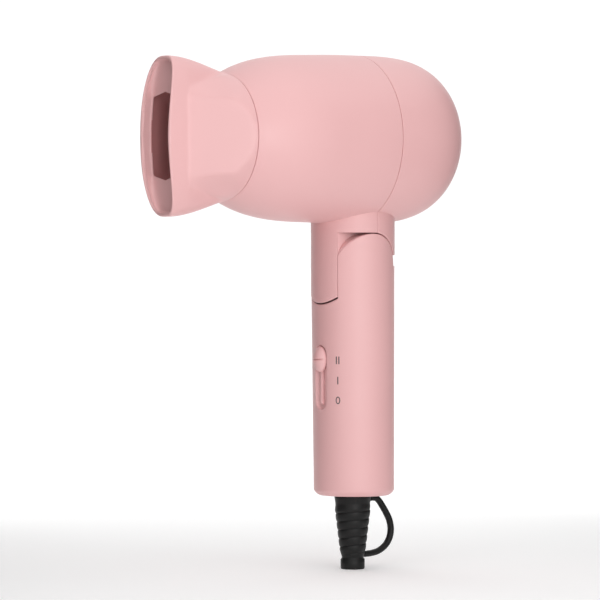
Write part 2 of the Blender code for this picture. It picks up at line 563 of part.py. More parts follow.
def inlet_grille():
    """Domed rear cap that carries on the curve of the rear cover, with level slots."""
    radii = [0.0, GRILLE_R * 0.375, GRILLE_R * 0.6875, GRILLE_R - GAP]
    outer = [(r, cover_x(r, REAR_REACH, BARREL_R)) for r in radii]
    inner = [(r, x - WALL) for r, x in outer[::-1][2:]]
    cap = revolve("inlet_grille", outer + [(GRILLE_R - GAP, SEAT_X + GAP), (GRILLE_R - 0.0028, SEAT_X + GAP)] + inner,
                  "X", PINK, steps=32)
    spans = []
    for i in range(-3, 4):
        z = i * 0.0052
        y = math.sqrt(max(0.0030**2, (GRILLE_R - 0.0050) ** 2 - z**2))
        for low, high in ((-y, -0.0010), (0.0010, y)):
            spans.append(((SEAT_X - 0.003, REAR_REACH + 0.005), (low, high), (z - 0.0012, z + 0.0012)))
    cut(cap, boxes("inlet_slots", spans))


def fan_and_motor():
    """Motor in its vaned mount, the shaft, and the axial fan behind it."""
    a, b = MOTOR_X
    revolve("motor_can", [(0, a - 0.002), (0.004, a - 0.002), (0.004, a), (MOTOR_R - 0.001, a), (MOTOR_R, a + 0.001),
                          (MOTOR_R, b - 0.001), (MOTOR_R - 0.001, b), (0.004, b), (0.004, b + 0.002), (0, b + 0.002)],
            "X", STEEL, steps=32)
    rod("motor_shaft", "X", (0, 0), SHAFT_R, b + 0.002 + GAP, FAN_X + FAN_LENGTH - 0.001, STEEL, 12)
    vanes = []
    for k in range(6):
        t = 2 * math.pi * k / 6 + 0.3
        radial, across = np.array((math.cos(t), math.sin(t))), np.array((-math.sin(t), math.cos(t)))
        corners = [radial * r + across * w for r, w in ((MOTOR_R + 0.001, -0.0007), (MOUNT_R - 0.001, -0.0007),
                                                        (MOUNT_R - 0.001, 0.0007), (MOTOR_R + 0.001, 0.0007))]
        vanes.append([tuple(c) for c in corners])
    mount = revolve("motor_mount", [(MOUNT_R, MOUNT_X[0]), (MOUNT_R, MOUNT_X[1]), (MOUNT_R - 0.002, MOUNT_X[1]),
                                    (MOUNT_R - 0.002, MOUNT_X[0])], "X", DARK, steps=40)
    for k, outline in enumerate(vanes):
        join(mount, prism(f"vane_{k}", outline, "X", MOUNT_X[0] + 0.0005, MOUNT_X[1] - 0.003))
    sleeve = MOTOR_R + GAP
    join(mount, revolve("motor_sleeve", [(sleeve, MOUNT_X[0]), (sleeve, 0.0098), (sleeve + 0.0018, 0.0098),
                                         (sleeve + 0.0018, MOUNT_X[0])], "X", steps=40))
    hub = revolve("fan_impeller", [(SHAFT_R + GAP, FAN_X), (0.0088, FAN_X), (0.0088, FAN_X + FAN_LENGTH - 0.002),
                                   (0.0060, FAN_X + FAN_LENGTH), (SHAFT_R + GAP, FAN_X + FAN_LENGTH)], "X", DARK,
                  steps=28)
    for k in range(BLADES):
        rings = []
        for r, twist in ((0.0080, 0.95), (0.0160, 0.72), (0.0240, 0.55), (FAN_R, 0.42)):
            t = 2 * math.pi * k / BLADES
            half = min(0.0060, (FAN_LENGTH / 2 - 0.0006) / math.cos(1.5708 - twist) * 0.98)
            ring = []
            for u, w in ((-half, -0.0005), (half, -0.0005), (half, 0.0005), (-half, 0.0005)):
                ahead, side = u * math.sin(twist) - w * math.cos(twist), u * math.cos(twist) + w * math.sin(twist)
                ring.append((FAN_X + FAN_LENGTH / 2 + ahead, r * math.cos(t) - side * math.sin(t),
                             r * math.sin(t) + side * math.cos(t)))
            rings.append(ring)
        join(hub, loft(f"blade_{k}", rings))


def heater():
    """Crossed mica boards with two wire coils, inside a mica tube, with their small electrical parts."""
    a, b = HEATER_X
    mid, t, slot = (a + b) / 2, BOARD_T / 2, BOARD_T / 2 + GAP
    upright = box("heater_board_upright", (a, b), (-t, t), (-BOARD_R, BOARD_R), MICA)
    cut(upright, box("upright_slot", (mid - GAP / 2, b + 0.001), (-0.002, 0.002), (-slot, slot)))
    level = box("heater_board_level", (a, b), (-BOARD_R, BOARD_R), (-t, t), MICA)
    cut(level, box("level_slot", (a - 0.001, mid + GAP / 2), (-slot, slot), (-0.002, 0.002)))
    for name, start in (("heating_coil_front", a + 0.003), ("heating_coil_rear", mid + 0.003)):
        turns = [(start + 0.015 * s, COIL_R * math.cos(6 * math.pi * s), COIL_R * math.sin(6 * math.pi * s))
                 for s in np.linspace(0, 1, 46)]
        sweep(name, turns, WIRE_R, COPPER, 4)
    revolve("mica_liner", [(LINER_R, a - 0.001), (LINER_R, b + 0.001), (LINER_R - 0.0005, b + 0.001),
                           (LINER_R - 0.0005, a - 0.001)], "X", MICA, steps=36)
    box("thermostat", (-0.034, -0.025), (t + GAP, t + 0.0035), (0.0060, 0.0130), STEEL)
    rod("thermal_fuse", "X", (t + GAP + 0.0013, -0.0100), 0.0013, -0.034, -0.023, STEEL, 12)
    for k in range(4):
        rod(f"diode_{k + 1}", "X", (-t - GAP - 0.0013, 0.0045 + 0.0038 * k), 0.0013, -0.024, -0.0185, BLACK, 10)
    grille_r = round(barrel_radius(-0.0632) - WALL - 0.0012, 4)
    perforated("outlet_grille", grille_r, (-0.0632, -0.0612), 0.0072, 0.0056, grille_r - 0.0022, DARK)


def leads():
    """Three wires, each in two lengths: from the heater down into the tongue, and from below the hinge's sweep to
    the switch and the cord. The slack that flexes between them is left out."""
    ends = ((0.0030, -0.1440), (0.0014, -0.0965), (0.0014, -0.1080))
    sweep_end = PIVOT_Z - math.sqrt(2) * (NECK_R + PIVOT_X) - 0.0008
    for k, y in enumerate(LEAD_Y):
        name = ("neutral", "low", "high")[k]
        up = [(-0.0105, y, -0.0150), (-0.0105, y, -0.0260), (-0.0105, y, -0.0400), (-0.0070, y, -0.0520),
              (-0.0060, y, -0.0690)]
        sweep(f"lead_{name}_upper", smooth_path(up, 3), LEAD_R, BLACK if k else WHITE, 6)
        x, z = ends[k]
        down = [(0.0000, y, sweep_end), (0.0025, y, -0.0870), (x + 0.0010, y, z)]
        if k:
            down = down[:2] + [(x + 0.0016, y, (z - 0.0870) / 2), (x + 0.0002, y, z)]
        sweep(f"lead_{name}_lower", smooth_path(down, 3), LEAD_R, BLACK if k else WHITE, 6,
              (PIVOT_X, 0, PIVOT_Z))


def cord_clamp():
    """Bar that grips the cord inside the handle, with its two screws."""
    bar = box("cord_clamp", (0.0010, 0.0040), (-0.0092, 0.0092), (CLAMP_Z - 0.0022, CLAMP_Z + 0.0022), WHITE)
    for i, y in enumerate(CLAMP_Y):
        cut(bar, rod(f"bar_hole_{i}", "X", (y, CLAMP_Z), 0.0011, 0.0, 0.005, sides=12))
        screw(f"clamp_screw_{i + 1}", y, CLAMP_Z, -0.0055, 0.0040 + GAP, 0.0018, 0.0008)


barrel, neck_bore = barrel_housing()
rear_cover(neck_bore)
concentrator_nozzle()
snap_ring()
inlet_grille()
perforated("inlet_screen", GRILLE_R - 0.0028, (SEAT_X - 0.0014, SEAT_X - 0.0009), 0.0062, 0.0048,
           GRILLE_R - 0.0035, STEEL)
handle_shell()
handle_back_cover()
switch_knob()
switch_parts()
strain_relief()
hinge_parts()
fan_and_motor()
heater()
leads()
cord_clamp()
screw("neck_screw", 0, -0.0468, -0.0110, 0.0150 + GAP, 0.0022, 0.0010)
for number, post_z in enumerate(POSTS_Z):
    screw(f"handle_screw_{number + 1}", 0, post_z, 0.0085, HANDLE_R - 0.0011 + GAP / 2, 0.0022, 0.0010)

base = Vector(((NOZZLE_REACH - REAR_REACH) / 2, 0, -TAIL_BOTTOM))
for obj in bpy.data.objects:
    obj.location = Vector(obj.location) + base
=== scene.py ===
"""A folding travel hair dryer in satin pink plastic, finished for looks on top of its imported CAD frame.

All lengths are metres. Shapes are worked out about the point where the barrel's axis meets the handle's axis,
with the nozzle towards -X, and moved to the frame's own place as each mesh is made."""

import json
import math

import bmesh
import bpy
import numpy as np
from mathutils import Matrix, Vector


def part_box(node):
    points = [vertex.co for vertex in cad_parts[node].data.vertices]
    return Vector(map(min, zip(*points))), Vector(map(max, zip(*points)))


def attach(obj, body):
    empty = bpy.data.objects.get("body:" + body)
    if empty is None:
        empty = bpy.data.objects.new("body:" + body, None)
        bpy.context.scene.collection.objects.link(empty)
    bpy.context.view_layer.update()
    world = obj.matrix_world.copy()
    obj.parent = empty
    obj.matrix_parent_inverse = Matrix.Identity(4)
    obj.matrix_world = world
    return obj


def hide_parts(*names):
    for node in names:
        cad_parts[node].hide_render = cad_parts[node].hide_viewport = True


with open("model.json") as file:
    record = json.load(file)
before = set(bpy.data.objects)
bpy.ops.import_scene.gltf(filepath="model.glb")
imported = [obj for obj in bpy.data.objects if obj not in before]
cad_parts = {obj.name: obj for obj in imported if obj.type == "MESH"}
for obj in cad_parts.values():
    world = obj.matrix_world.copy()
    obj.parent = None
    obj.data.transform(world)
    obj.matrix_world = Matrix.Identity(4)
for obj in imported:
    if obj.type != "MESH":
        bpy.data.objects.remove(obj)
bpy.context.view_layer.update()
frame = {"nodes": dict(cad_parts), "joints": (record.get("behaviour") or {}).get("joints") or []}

# ---------------------------------------------------------------- camera, floor and light
# A long lens a little above the barrel, off the front of the nozzle's left side, over a pale studio floor.
# Three soft boxes and an even white surround light it, two black cards hidden from the camera shade its sides,
# and the floor glows faintly, as a light table does.

fold = next(j for j in frame["joints"] if j["name"] == "handle_fold")
pivot_x, pivot_z = -0.0023, -0.0572
shaft_low, shaft_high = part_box("motor_shaft")
here = np.array([fold["pos_m"][0] - pivot_x, 0.0, (shaft_low[2] + shaft_high[2]) / 2])

view_azimuth, view_height, view_distance = math.radians(-35.6), math.radians(1.0), 1.686
target = Vector((here[0] - 0.0294, 0, here[2] - 0.0724))
back = Vector((math.sin(view_azimuth) * math.cos(view_height), -math.cos(view_azimuth) * math.cos(view_height),
               math.sin(view_height)))
camera = bpy.data.objects.new("camera", bpy.data.cameras.new("camera"))
camera.data.lens, camera.data.sensor_width = 225.4, 36
camera.data.clip_end = 60
camera.location = target + view_distance * back
camera.rotation_euler = back.to_track_quat("Z", "Y").to_euler()
bpy.context.scene.collection.objects.link(camera)
bpy.context.scene.camera = camera


def soft_box(name, azimuth, height, distance, size, power):
    """A square area light that faces the dryer from an azimuth and height in degrees."""
    a, h = math.radians(azimuth), math.radians(height)
    away = Vector((math.sin(a) * math.cos(h), -math.cos(a) * math.cos(h), math.sin(h)))
    lamp = bpy.data.lights.new(name, "AREA")
    lamp.shape, lamp.size, lamp.energy = "SQUARE", size, power
    holder = bpy.data.objects.new(name, lamp)
    holder.location = target + distance * away
    holder.rotation_euler = away.to_track_quat("Z", "Y").to_euler()
    bpy.context.scene.collection.objects.link(holder)


soft_box("key_light", -18, 4, 1.9, 0.8, 6.7)
soft_box("front_light", -62, 4, 1.9, 0.7, 0.6)
soft_box("top_light", 10, 78, 1.5, 0.9, 0.8)


def flag(name, azimuth, distance, width, height, level):
    """A black card upright at an azimuth, hidden from the camera: it takes light off one side of the dryer."""
    a = math.radians(azimuth)
    half, low, high = width / 2, level - height / 2, level + height / 2
    mesh = bpy.data.meshes.new(name)
    mesh.from_pydata([(-half, 0, low), (half, 0, low), (half, 0, high), (-half, 0, high)], [], [(0, 1, 2, 3)])
    card = bpy.data.objects.new(name, mesh)
    card.location = (target.x + distance * math.sin(a), -distance * math.cos(a), target.z)
    card.rotation_euler = (0, 0, a)
    bpy.context.scene.collection.objects.link(card)
    card.visible_camera = False
    card_paint = bpy.data.materials.new(name)
    card_paint.use_nodes = True
    sockets = card_paint.node_tree.nodes["Principled BSDF"].inputs
    sockets["Base Color"].default_value, sockets["Roughness"].default_value = (0.02, 0.02, 0.02, 1), 0.95
    mesh.materials.append(card_paint)


flag("left_flag", -122, 0.26, 0.60, 0.45, 0.10)
flag("right_flag", 66, 0.34, 0.60, 0.45, 0.10)

world = bpy.data.worlds.new("studio")
world.use_nodes = True
world.node_tree.nodes["Background"].inputs["Color"].default_value = (1, 1, 1, 1)
world.node_tree.nodes["Background"].inputs["Strength"].default_value = 1.06
bpy.context.scene.world = world
bpy.context.scene.view_settings.view_transform = "Standard"

floor_size = 12.0
floor_mesh = bpy.data.meshes.new("floor")
floor_mesh.from_pydata([(-floor_size, -floor_size, 0), (floor_size, -floor_size, 0), (floor_size, floor_size, 0),
                        (-floor_size, floor_size, 0)], [], [(0, 1, 2, 3)])
floor = bpy.data.objects.new("floor", floor_mesh)
bpy.context.scene.collection.objects.link(floor)
floor_paint = bpy.data.materials.new("floor_paint")
floor_paint.use_nodes = True
sockets = floor_paint.node_tree.nodes["Principled BSDF"].inputs
sockets["Base Color"].default_value, sockets["Roughness"].default_value = (0.93, 0.93, 0.93, 1), 0.9
sockets["Emission Color"].default_value, sockets["Emission Strength"].default_value = (1, 1, 1, 1), 0.18
floor_mesh.materials.append(floor_paint)

# ---------------------------------------------------------------- front half of the barrel
# An injection-moulded shell in satin pink ABS, turned in form: nearly level at the seam and closing in to the
# nozzle's socket. Its finish is a fine spark-eroded grain, so it shines softly and never mirrors.

moulded_grain = bpy.data.node_groups.new("moulded_grain", "ShaderNodeTree")
for label, kind, way in (("Grain Size", "NodeSocketFloat", "INPUT"), ("Height", "NodeSocketFloat", "OUTPUT"),
                         ("Mottle", "NodeSocketFloat", "OUTPUT"), ("Handling", "NodeSocketFloat", "OUTPUT")):
    moulded_grain.interface.new_socket(label, in_out=way, socket_type=kind)


def add_node(tree, kind, x, y, **settings):
    """A shader node at a place in the tree, with its properties set."""
    node = tree.nodes.new(kind)
    node.location = (x, y)
    for key, value in settings.items():
        setattr(node, key, value)
    return node


grain_in = add_node(moulded_grain, "NodeGroupInput", -900, 0)
grain_out = add_node(moulded_grain, "NodeGroupOutput", 300, 0)
grain_place = add_node(moulded_grain, "ShaderNodeTexCoord", -900, 300)
fine = add_node(moulded_grain, "ShaderNodeTexNoise", -500, 300)
fine.inputs["Detail"].default_value, fine.inputs["Roughness"].default_value = 3.0, 0.6
mottle = add_node(moulded_grain, "ShaderNodeTexNoise", -500, 0)
mottle.inputs["Scale"].default_value, mottle.inputs["Detail"].default_value = 26.0, 4.0
touch = add_node(moulded_grain, "ShaderNodeTexNoise", -500, -300)
touch.inputs["Scale"].default_value, touch.inputs["Detail"].default_value = 95.0, 6.0
for texture in (fine, mottle, touch):
    moulded_grain.links.new(grain_place.outputs["Object"], texture.inputs["Vector"])
moulded_grain.links.new(grain_in.outputs["Grain Size"], fine.inputs["Scale"])
moulded_grain.links.new(fine.outputs["Fac"], grain_out.inputs["Height"])
moulded_grain.links.new(mottle.outputs["Fac"], grain_out.inputs["Mottle"])
moulded_grain.links.new(touch.outputs["Fac"], grain_out.inputs["Handling"])


def moulded(name, dark, light, roughness, grain=2600.0, depth=0.00001):
    """A moulded finish: colour drifts between two shades, roughness with handling, and a fine grain lifts it."""
    paint = bpy.data.materials.new(name)
    paint.use_nodes = True
    tree = paint.node_tree
    shader = tree.nodes["Principled BSDF"]
    effect = add_node(tree, "ShaderNodeGroup", -900, 0, node_tree=moulded_grain)
    effect.inputs["Grain Size"].default_value = grain
    shade = add_node(tree, "ShaderNodeMix", -500, 200, data_type="RGBA")
    shade.inputs["A"].default_value, shade.inputs["B"].default_value = (*dark, 1), (*light, 1)
    shine = add_node(tree, "ShaderNodeMapRange", -500, -100)
    shine.inputs["From Min"].default_value, shine.inputs["From Max"].default_value = 0.3, 0.7
    shine.inputs["To Min"].default_value = roughness - 0.035
    shine.inputs["To Max"].default_value = roughness + 0.035
    bump = add_node(tree, "ShaderNodeBump", -300, -350)
    bump.inputs["Strength"].default_value, bump.inputs["Distance"].default_value = 0.35, depth
    tree.links.new(effect.outputs["Mottle"], shade.inputs["Factor"])
    tree.links.new(effect.outputs["Handling"], shine.inputs["Value"])
    tree.links.new(effect.outputs["Height"], bump.inputs["Height"])
    tree.links.new(shade.outputs["Result"], shader.inputs["Base Color"])
    tree.links.new(shine.outputs["Result"], shader.inputs["Roughness"])
    tree.links.new(bump.outputs["Normal"], shader.inputs["Normal"])
    return paint


pink = moulded("satin_pink", (0.79, 0.452, 0.452), (0.82, 0.474, 0.474), 0.42)


def skin(grid, around=False, along=False, keep=None):
    """Quads through a grid of points, rows by columns, joined round the columns or along the rows when asked.
    keep is a mask of the cells that are filled."""
    rows, columns = grid.shape[:2]
    index = np.arange(rows * columns).reshape(rows, columns)
    right = np.roll(index, -1, 1) if around else index[:, 1:]
    left = index if around else index[:, :-1]
    if along:
        quads = np.stack([left, right, np.roll(right, -1, 0), np.roll(left, -1, 0)], -1)
    else:
        quads = np.stack([left[:-1], right[:-1], right[1:], left[1:]], -1)
    if keep is not None:
        quads = quads[keep]
    return grid.reshape(-1, 3), quads.reshape(-1, 4)


def piece(name, parts, body, paint, stands_for=(), wall=0.0, round_edge=0.0, sharp=38.0,
          outward=None):
    """One piece from (points, quads) parts: doubled points are merged, faces are turned outward, a wall and rounded
    edges are added where asked, and the piece is handed to its body. outward(points) gives the way out."""
    offset, points, quads = 0, [], []
    for p, q in parts:
        if outward is not None:
            c = p[q]
            normal = np.cross(c[:, 2] - c[:, 0], c[:, 3] - c[:, 1])
            if (outward(c.mean(1)) * normal).sum() < 0:
                q = q[:, ::-1]
        points.append(p)
        quads.append(q + offset)
        offset += len(p)
    mesh = bpy.data.meshes.new(name)
    mesh.from_pydata((np.concatenate(points) + here).tolist(), [], np.concatenate(quads).tolist())
    shell = bmesh.new()
    shell.from_mesh(mesh)
    bmesh.ops.remove_doubles(shell, verts=shell.verts, dist=2e-6)
    bmesh.ops.dissolve_degenerate(shell, edges=shell.edges, dist=1e-7)
    if outward is None:
        bmesh.ops.recalc_face_normals(shell, faces=shell.faces)
        if shell.calc_volume(signed=True) < 0:
            bmesh.ops.reverse_faces(shell, faces=shell.faces)
    shell.to_mesh(mesh)
    shell.free()
    obj = bpy.data.objects.new(name, mesh)
    bpy.context.scene.collection.objects.link(obj)
    if wall:
        step = obj.modifiers.new("wall", "SOLIDIFY")
        step.thickness, step.offset, step.use_even_offset = wall, -1, False
    if round_edge:
        step = obj.modifiers.new("edges", "BEVEL")
        step.width, step.segments, step.limit_method = round_edge, 3, "ANGLE"
        step.angle_limit, step.use_clamp_overlap = math.radians(50), True
    if obj.modifiers:
        made = bpy.data.meshes.new_from_object(obj.evaluated_get(bpy.context.evaluated_depsgraph_get()))
        obj.modifiers.clear()
        obj.data = made
        made.name = name
        bpy.data.meshes.remove(mesh)
    obj.data.shade_smooth()
    obj.data.set_sharp_from_angle(angle=math.radians(sharp))
    obj.data.materials.clear()
    obj.data.materials.append(paint)
    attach(obj, body)
    if stands_for:
        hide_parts(*stands_for)
    return obj


def turned(profile, count=176, axis="X"):
    """A closed outline of (height along the axis, radius) points carried round the axis: each point's circle."""
    height, radius = np.array(profile).T[:, :, None]
    angle = np.linspace(0, 2 * math.pi, count, endpoint=False)[None, :]
    across, up = radius * np.cos(angle), radius * np.sin(angle)
    along = height + 0 * angle
    order = {"X": (along, across, up), "Z": (across, up, along), "Y": (up, along, across)}[axis]
    return skin(np.stack(order, -1), around=True, along=True)


def corner(centre, radius, start, end, count=5):
    """Points of an arc in the outline's plane, from one angle to another in degrees."""
    angle = np.radians(np.linspace(start, end, count))
    return [(centre[0] + radius * math.cos(a), centre[1] + radius * math.sin(a)) for a in angle]


wall, gap = 0.0020, 0.0003
barrel_r, seam_front, rear_reach = 0.0380, -0.0714, 0.0500
socket_r = 0.0282


def front_radius(x):
    """Barrel radius at x: a slight fall just ahead of the seam, then a fourth-power fall to the socket."""
    t = np.clip((-0.008 - x) / (-0.008 - seam_front), 0, 1)
    ease = np.clip(t / 0.35, 0, 1)
    return barrel_r - 0.0004 * ease**2 * (3 - 2 * ease) - (barrel_r - 0.0004 - socket_r) * t**4


mouth_round, seam_round = 0.0003, 0.00022
front_xs = np.linspace(seam_front + mouth_round, -gap / 2 - 0.0003, 64)
outline = corner((seam_front + mouth_round, socket_r - mouth_round), mouth_round, 180, 100, 4)
outline += [(x, front_radius(x)) for x in front_xs[1:]]
outline += corner((-gap / 2 - seam_round, barrel_r - seam_round), seam_round, 80, 0, 4)
outline += [(x, front_radius(x) - wall) for x in np.linspace(-gap / 2, seam_front, 30)]
piece("barrel_front", [turned(outline)], "barrel", pink, ("barrel_housing",), sharp=50)

# ---------------------------------------------------------------- neck and hinge tongue
# Moulded in one with the front half: a plain half tube that meets the barrel with no fillet, and the narrow
# tongue that drops from its middle between the handle's cheeks. The tongue's side walls carry the hinge pins.

neck_r, neck_cut, neck_rear = 0.0190, -0.0422, -0.0524
tongue_half = 0.0100


def tube_sheet(angle_low, angle_high, columns, z_low, z_high, rows, radius, centre=None):
    """Part of an upright tube: the angle runs along the columns, height up the rows between two edges that may
    depend on the angle, and the radius and the tube's centre may depend on height."""
    u, v = np.linspace(0, 1, columns)[None, :], np.linspace(0, 1, rows)[:, None]
    angle = angle_low + (angle_high - angle_low) * u
    low = z_low(angle) if callable(z_low) else z_low
    high = z_high(angle) if callable(z_high) else z_high
    z = low + (high - low) * v + 0 * angle
    r = radius(z) if callable(radius) else radius
    x0 = centre(z) if centre else 0.0
    return np.stack([x0 + r * np.cos(angle) + 0 * z, r * np.sin(angle) + 0 * z, z], -1)


def tongue_end(angle):
    """The tongue's lower edge, which hugs the neck's own curve: as far below the pivot as its face is ahead."""
    return pivot_z - pivot_x + neck_r * np.cos(angle)


def edge_drop(distance, radius=0.0004):
    """How far a rounded edge has fallen at a distance from it: a quarter circle."""
    d = np.clip(distance, 0, radius)
    return radius - np.sqrt(np.clip(radius**2 - (radius - d) ** 2, 0, None))


def crowded(low, high, count, at_low=True, at_high=True, band=0.0006):
    """Steps from low to high, with closer ones in a band beside the ends that have a rounded edge."""
    close = np.array([0, 0.08, 0.2, 0.4, 0.65, 1.0]) * band
    middle = np.linspace(low + band * at_low, high - band * at_high, count)
    return np.concatenate([low + close[:-1] if at_low else [], middle, high - close[:-1][::-1] if at_high else []])


def neck_sheet(angles, z, drop):
    """Part of the neck's tube: angle by column, height by cell, moved in by a drop."""
    r = neck_r - drop
    return np.stack([r * np.cos(angles), r * np.sin(angles), z], -1)


buried_r, neck_wall = 0.0362, 0.0021


def neck_head(angle):
    """The neck's upper edge, which ends inside the barrel's wall: its height over a circle of the barrel."""
    return -np.sqrt(buried_r**2 - (neck_r * np.sin(angle)) ** 2)


slot_angle = math.asin(tongue_half / neck_r)
neck_top, soft_edge = -0.030, 0.0006
middle = crowded(-tongue_half, tongue_half, 33)
middle = math.pi - np.arcsin(np.clip(middle / neck_r, -1, 1))[None, :]
just = gap / 2 / neck_r
side_end = math.pi / 2 + just
sides = np.linspace(math.pi - slot_angle, side_end, 30)[None, :]
rows = crowded(neck_cut, neck_top, 9, at_high=False)[:, None]
neck_parts = [skin(neck_sheet(middle + 0 * rows, np.minimum(rows, neck_head(middle)), 0 * rows))]
for mirror in (1, -1):
    a = math.pi + mirror * (sides - math.pi)
    neck_parts.append(skin(neck_sheet(a + 0 * rows, np.minimum(rows, neck_head(a)),
                                      edge_drop(rows - neck_cut, soft_edge) + 0 * a)))
foot = tongue_end(middle)
share = crowded(0, 1, 40, at_high=False, band=soft_edge / 0.03)[:, None]
z = foot + (neck_cut - foot) * share
inward = tongue_half - neck_r * abs(np.sin(middle)) + 0 * z
drop = np.maximum(edge_drop(z - foot, soft_edge), edge_drop(inward, 0.00015))
neck_parts.append(skin(neck_sheet(middle + 0 * z, z, drop)))
piece("neck_front", neck_parts, "barrel", pink, wall=neck_wall, sharp=44, outward=lambda p: p * (1, 1, 0))


def lump(name, outline, low, high, body, paint, finish="pink_shell", axis="Y", round_edge=0.0004):
    """A closed flat-sided solid: the outline carried along X or Y between two planes, with rounded edges."""
    ring = np.array(outline)
    rows = np.array([[low], [high]])
    a, b, h = ring[:, 0] + 0 * rows, ring[:, 1] + 0 * rows, rows + 0 * ring[:, 0]
    grid = np.stack((h, a, b) if axis == "X" else (a, h, b), -1)
    a, b = ring.mean(0)
    caps = []
    for edge, at in zip(grid, (low, high)):
        centre = (at, a, b) if axis == "X" else (a, at, b)
        caps.append(skin(np.stack([np.tile(centre, (len(ring), 1)), edge]), around=True))
    return piece(name, [skin(grid, around=True), *caps], body, paint, round_edge=round_edge)


ear_reach, web_front, web_foot = 0.0060, -0.0158, -0.0712
outline = [(web_front, neck_top), (web_front, web_foot), (-0.0078, web_foot)]
outline += [(pivot_x + ear_reach * math.cos(a), pivot_z + ear_reach * math.sin(a))
            for a in np.linspace(-0.5 * math.pi, 0.5 * math.pi, 15)]
outline += [(-gap, -0.0500), (-gap, neck_top)]
for sign, side in ((-1, "left"), (1, "right")):
    lump(f"tongue_wall_{side}", outline, *sorted((sign * 0.0077, sign * 0.00996)), "barrel", pink)

# ---------------------------------------------------------------- rear half of the barrel and of the neck
# The second moulding of the barrel, a squared-off dome with its own half of the neck. The neck's lower edge is cut
# to an arc about the hinge so that the handle's cheeks pass under it with a hair of clearance.

dome_r, grille_r = 0.0146, 0.0240
dome_power, dome_share = 3.7, 0.872  # the swept part is cut at this share of the reach, where the grille takes over


def rear_x(r, reach=rear_reach, radius=barrel_r):
    """Where the rear dome's surface lies at radius r: a superellipse of power 3.7 along the axis, 2 across."""
    return reach * np.clip(1 - (np.asarray(r) / radius) ** 2, 0, 1) ** (1 / dome_power)


sweep = np.linspace(0.0, 1.0, 70)
rear_r = barrel_r * np.sqrt(np.clip(1 - (dome_share * sweep) ** dome_power, 0, 1))
outline = corner((gap / 2 + seam_round, barrel_r - seam_round), seam_round, 180, 90, 4)
outline += [(rear_reach * dome_share * s, r) for s, r in zip(sweep[1:], rear_r[1:]) if r > grille_r + 0.0004]
outline += [(float(rear_x(grille_r + 0.0001)), grille_r + 0.0001), (0.0428, grille_r), (0.0410, grille_r),
            (0.0410, grille_r - 0.0025), (0.0392, grille_r - 0.0025)]
inner = [(x * 0.96, r - wall) for x, r in outline if r > 0.0275 and x > 0.001][::-1]
outline += [(0.0392, 0.0255)] + inner + [(gap / 2, barrel_r - wall)]
piece("barrel_rear", [turned(outline)], "barrel", pink, ("rear_cover",), sharp=50)


def arch(angle):
    """The rear neck's lower edge: an arc about the pivot over the cheeks, then level at the back."""
    x = neck_r * np.cos(angle) - pivot_x
    reach = dome_r + 0.0005
    return np.maximum(pivot_z + np.sqrt(np.clip(reach**2 - x**2, 0, None)), neck_rear)


neck_parts = []
for low, high in ((-math.pi / 2 + just, -0.42), (-0.42, 0.42), (0.42, math.pi / 2 - just)):
    neck_parts.append(skin(tube_sheet(low, high, 61, arch, neck_head, 24, neck_r)))
neck_back = piece("neck_rear", neck_parts, "barrel", pink, wall=neck_wall, round_edge=0.0005,
                  outward=lambda p: p * (1, 1, 0))
for vertex in neck_back.data.vertices:  # the arch is cut level through the wall
    clear = (dome_r + 0.0004) ** 2 - (vertex.co.x - here[0] - pivot_x) ** 2
    if clear > 0:
        vertex.co.z = max(vertex.co.z, here[2] + pivot_z + math.sqrt(clear))

# ---------------------------------------------------------------- air inlet
# A snap-in cap that carries on the dome, moulded with a rim, level bars and a spine, over a punched steel screen
# that keeps hair out of the fan.


def bar_along(centre_line, width, thickness):
    """A rounded bar whose face follows the dome: its section is carried along the path of points."""
    path = np.array(centre_line)
    across = np.array([0.0, 0.0, 1.0]) if abs(path[-1, 2] - path[0, 2]) < 1e-6 else np.array([0.0, 1.0, 0.0])
    angle = np.linspace(0, 2 * math.pi, 16, endpoint=False)
    squareness = 0.45
    u = np.sign(np.cos(angle)) * np.abs(np.cos(angle)) ** squareness * width / 2
    w = np.sign(np.sin(angle)) * np.abs(np.sin(angle)) ** squareness * thickness / 2 - thickness / 2
    grid = path[:, None, :] + u[None, :, None] * across + w[None, :, None] * np.array([1.0, 0, 0])
    ends = [np.stack([np.tile(grid[k].mean(0), (16, 1)), grid[k]]) for k in (0, -1)]
    return [skin(grid, around=True), *[skin(e, around=True) for e in ends]]


rim_r = grille_r - gap
outline = [(float(rear_x(r)), r) for r in np.linspace(0.0196, rim_r - 0.0006, 8)]
outline += [(float(rear_x(rim_r)) - 0.0004, rim_r), (0.0413, rim_r), (0.0413, 0.0212)]
outline += [(float(rear_x(r)) - 0.0021, r) for r in np.linspace(0.0206, 0.0196, 3)]
cap_parts = [turned(outline)]
bar_pitch, bar_end_r = 0.0052, 0.0202
for k in range(-4, 4):
    z = (k + 0.5) * bar_pitch
    half = math.sqrt(bar_end_r**2 - z**2)
    ys = np.linspace(-half, half, 31)
    cap_parts += bar_along([(float(rear_x(math.hypot(y, z))) - 0.00005, y, z) for y in ys], 0.0028, 0.0020)
zs = np.linspace(-0.0200, 0.0200, 31)
cap_parts += bar_along([(float(rear_x(abs(z))) - 0.0003, 0.0, z) for z in zs], 0.0020, 0.0019)
piece("inlet_cap", cap_parts, "barrel", pink, ("inlet_grille",), sharp=60)

# ---------------------------------------------------------------- concentrator nozzle
# One thin moulding that plugs into the barrel. It leaves the round socket as flat side panels with sloping
# shoulders, out of which a tall thin wing flares to the mouth. Inside, a shallow bell falls to the slot.

mouth_x, mouth_half_z, mouth_half_y, mouth_bow = -0.1076, 0.03525, 0.01185, 0.0050
panel_end, panel_half_y = 0.725, 0.0122
nozzle_angle = np.linspace(0, 2 * math.pi, 288, endpoint=False)
cosine, sine = np.maximum(1e-6, abs(np.cos(nozzle_angle))), np.maximum(1e-6, abs(np.sin(nozzle_angle)))


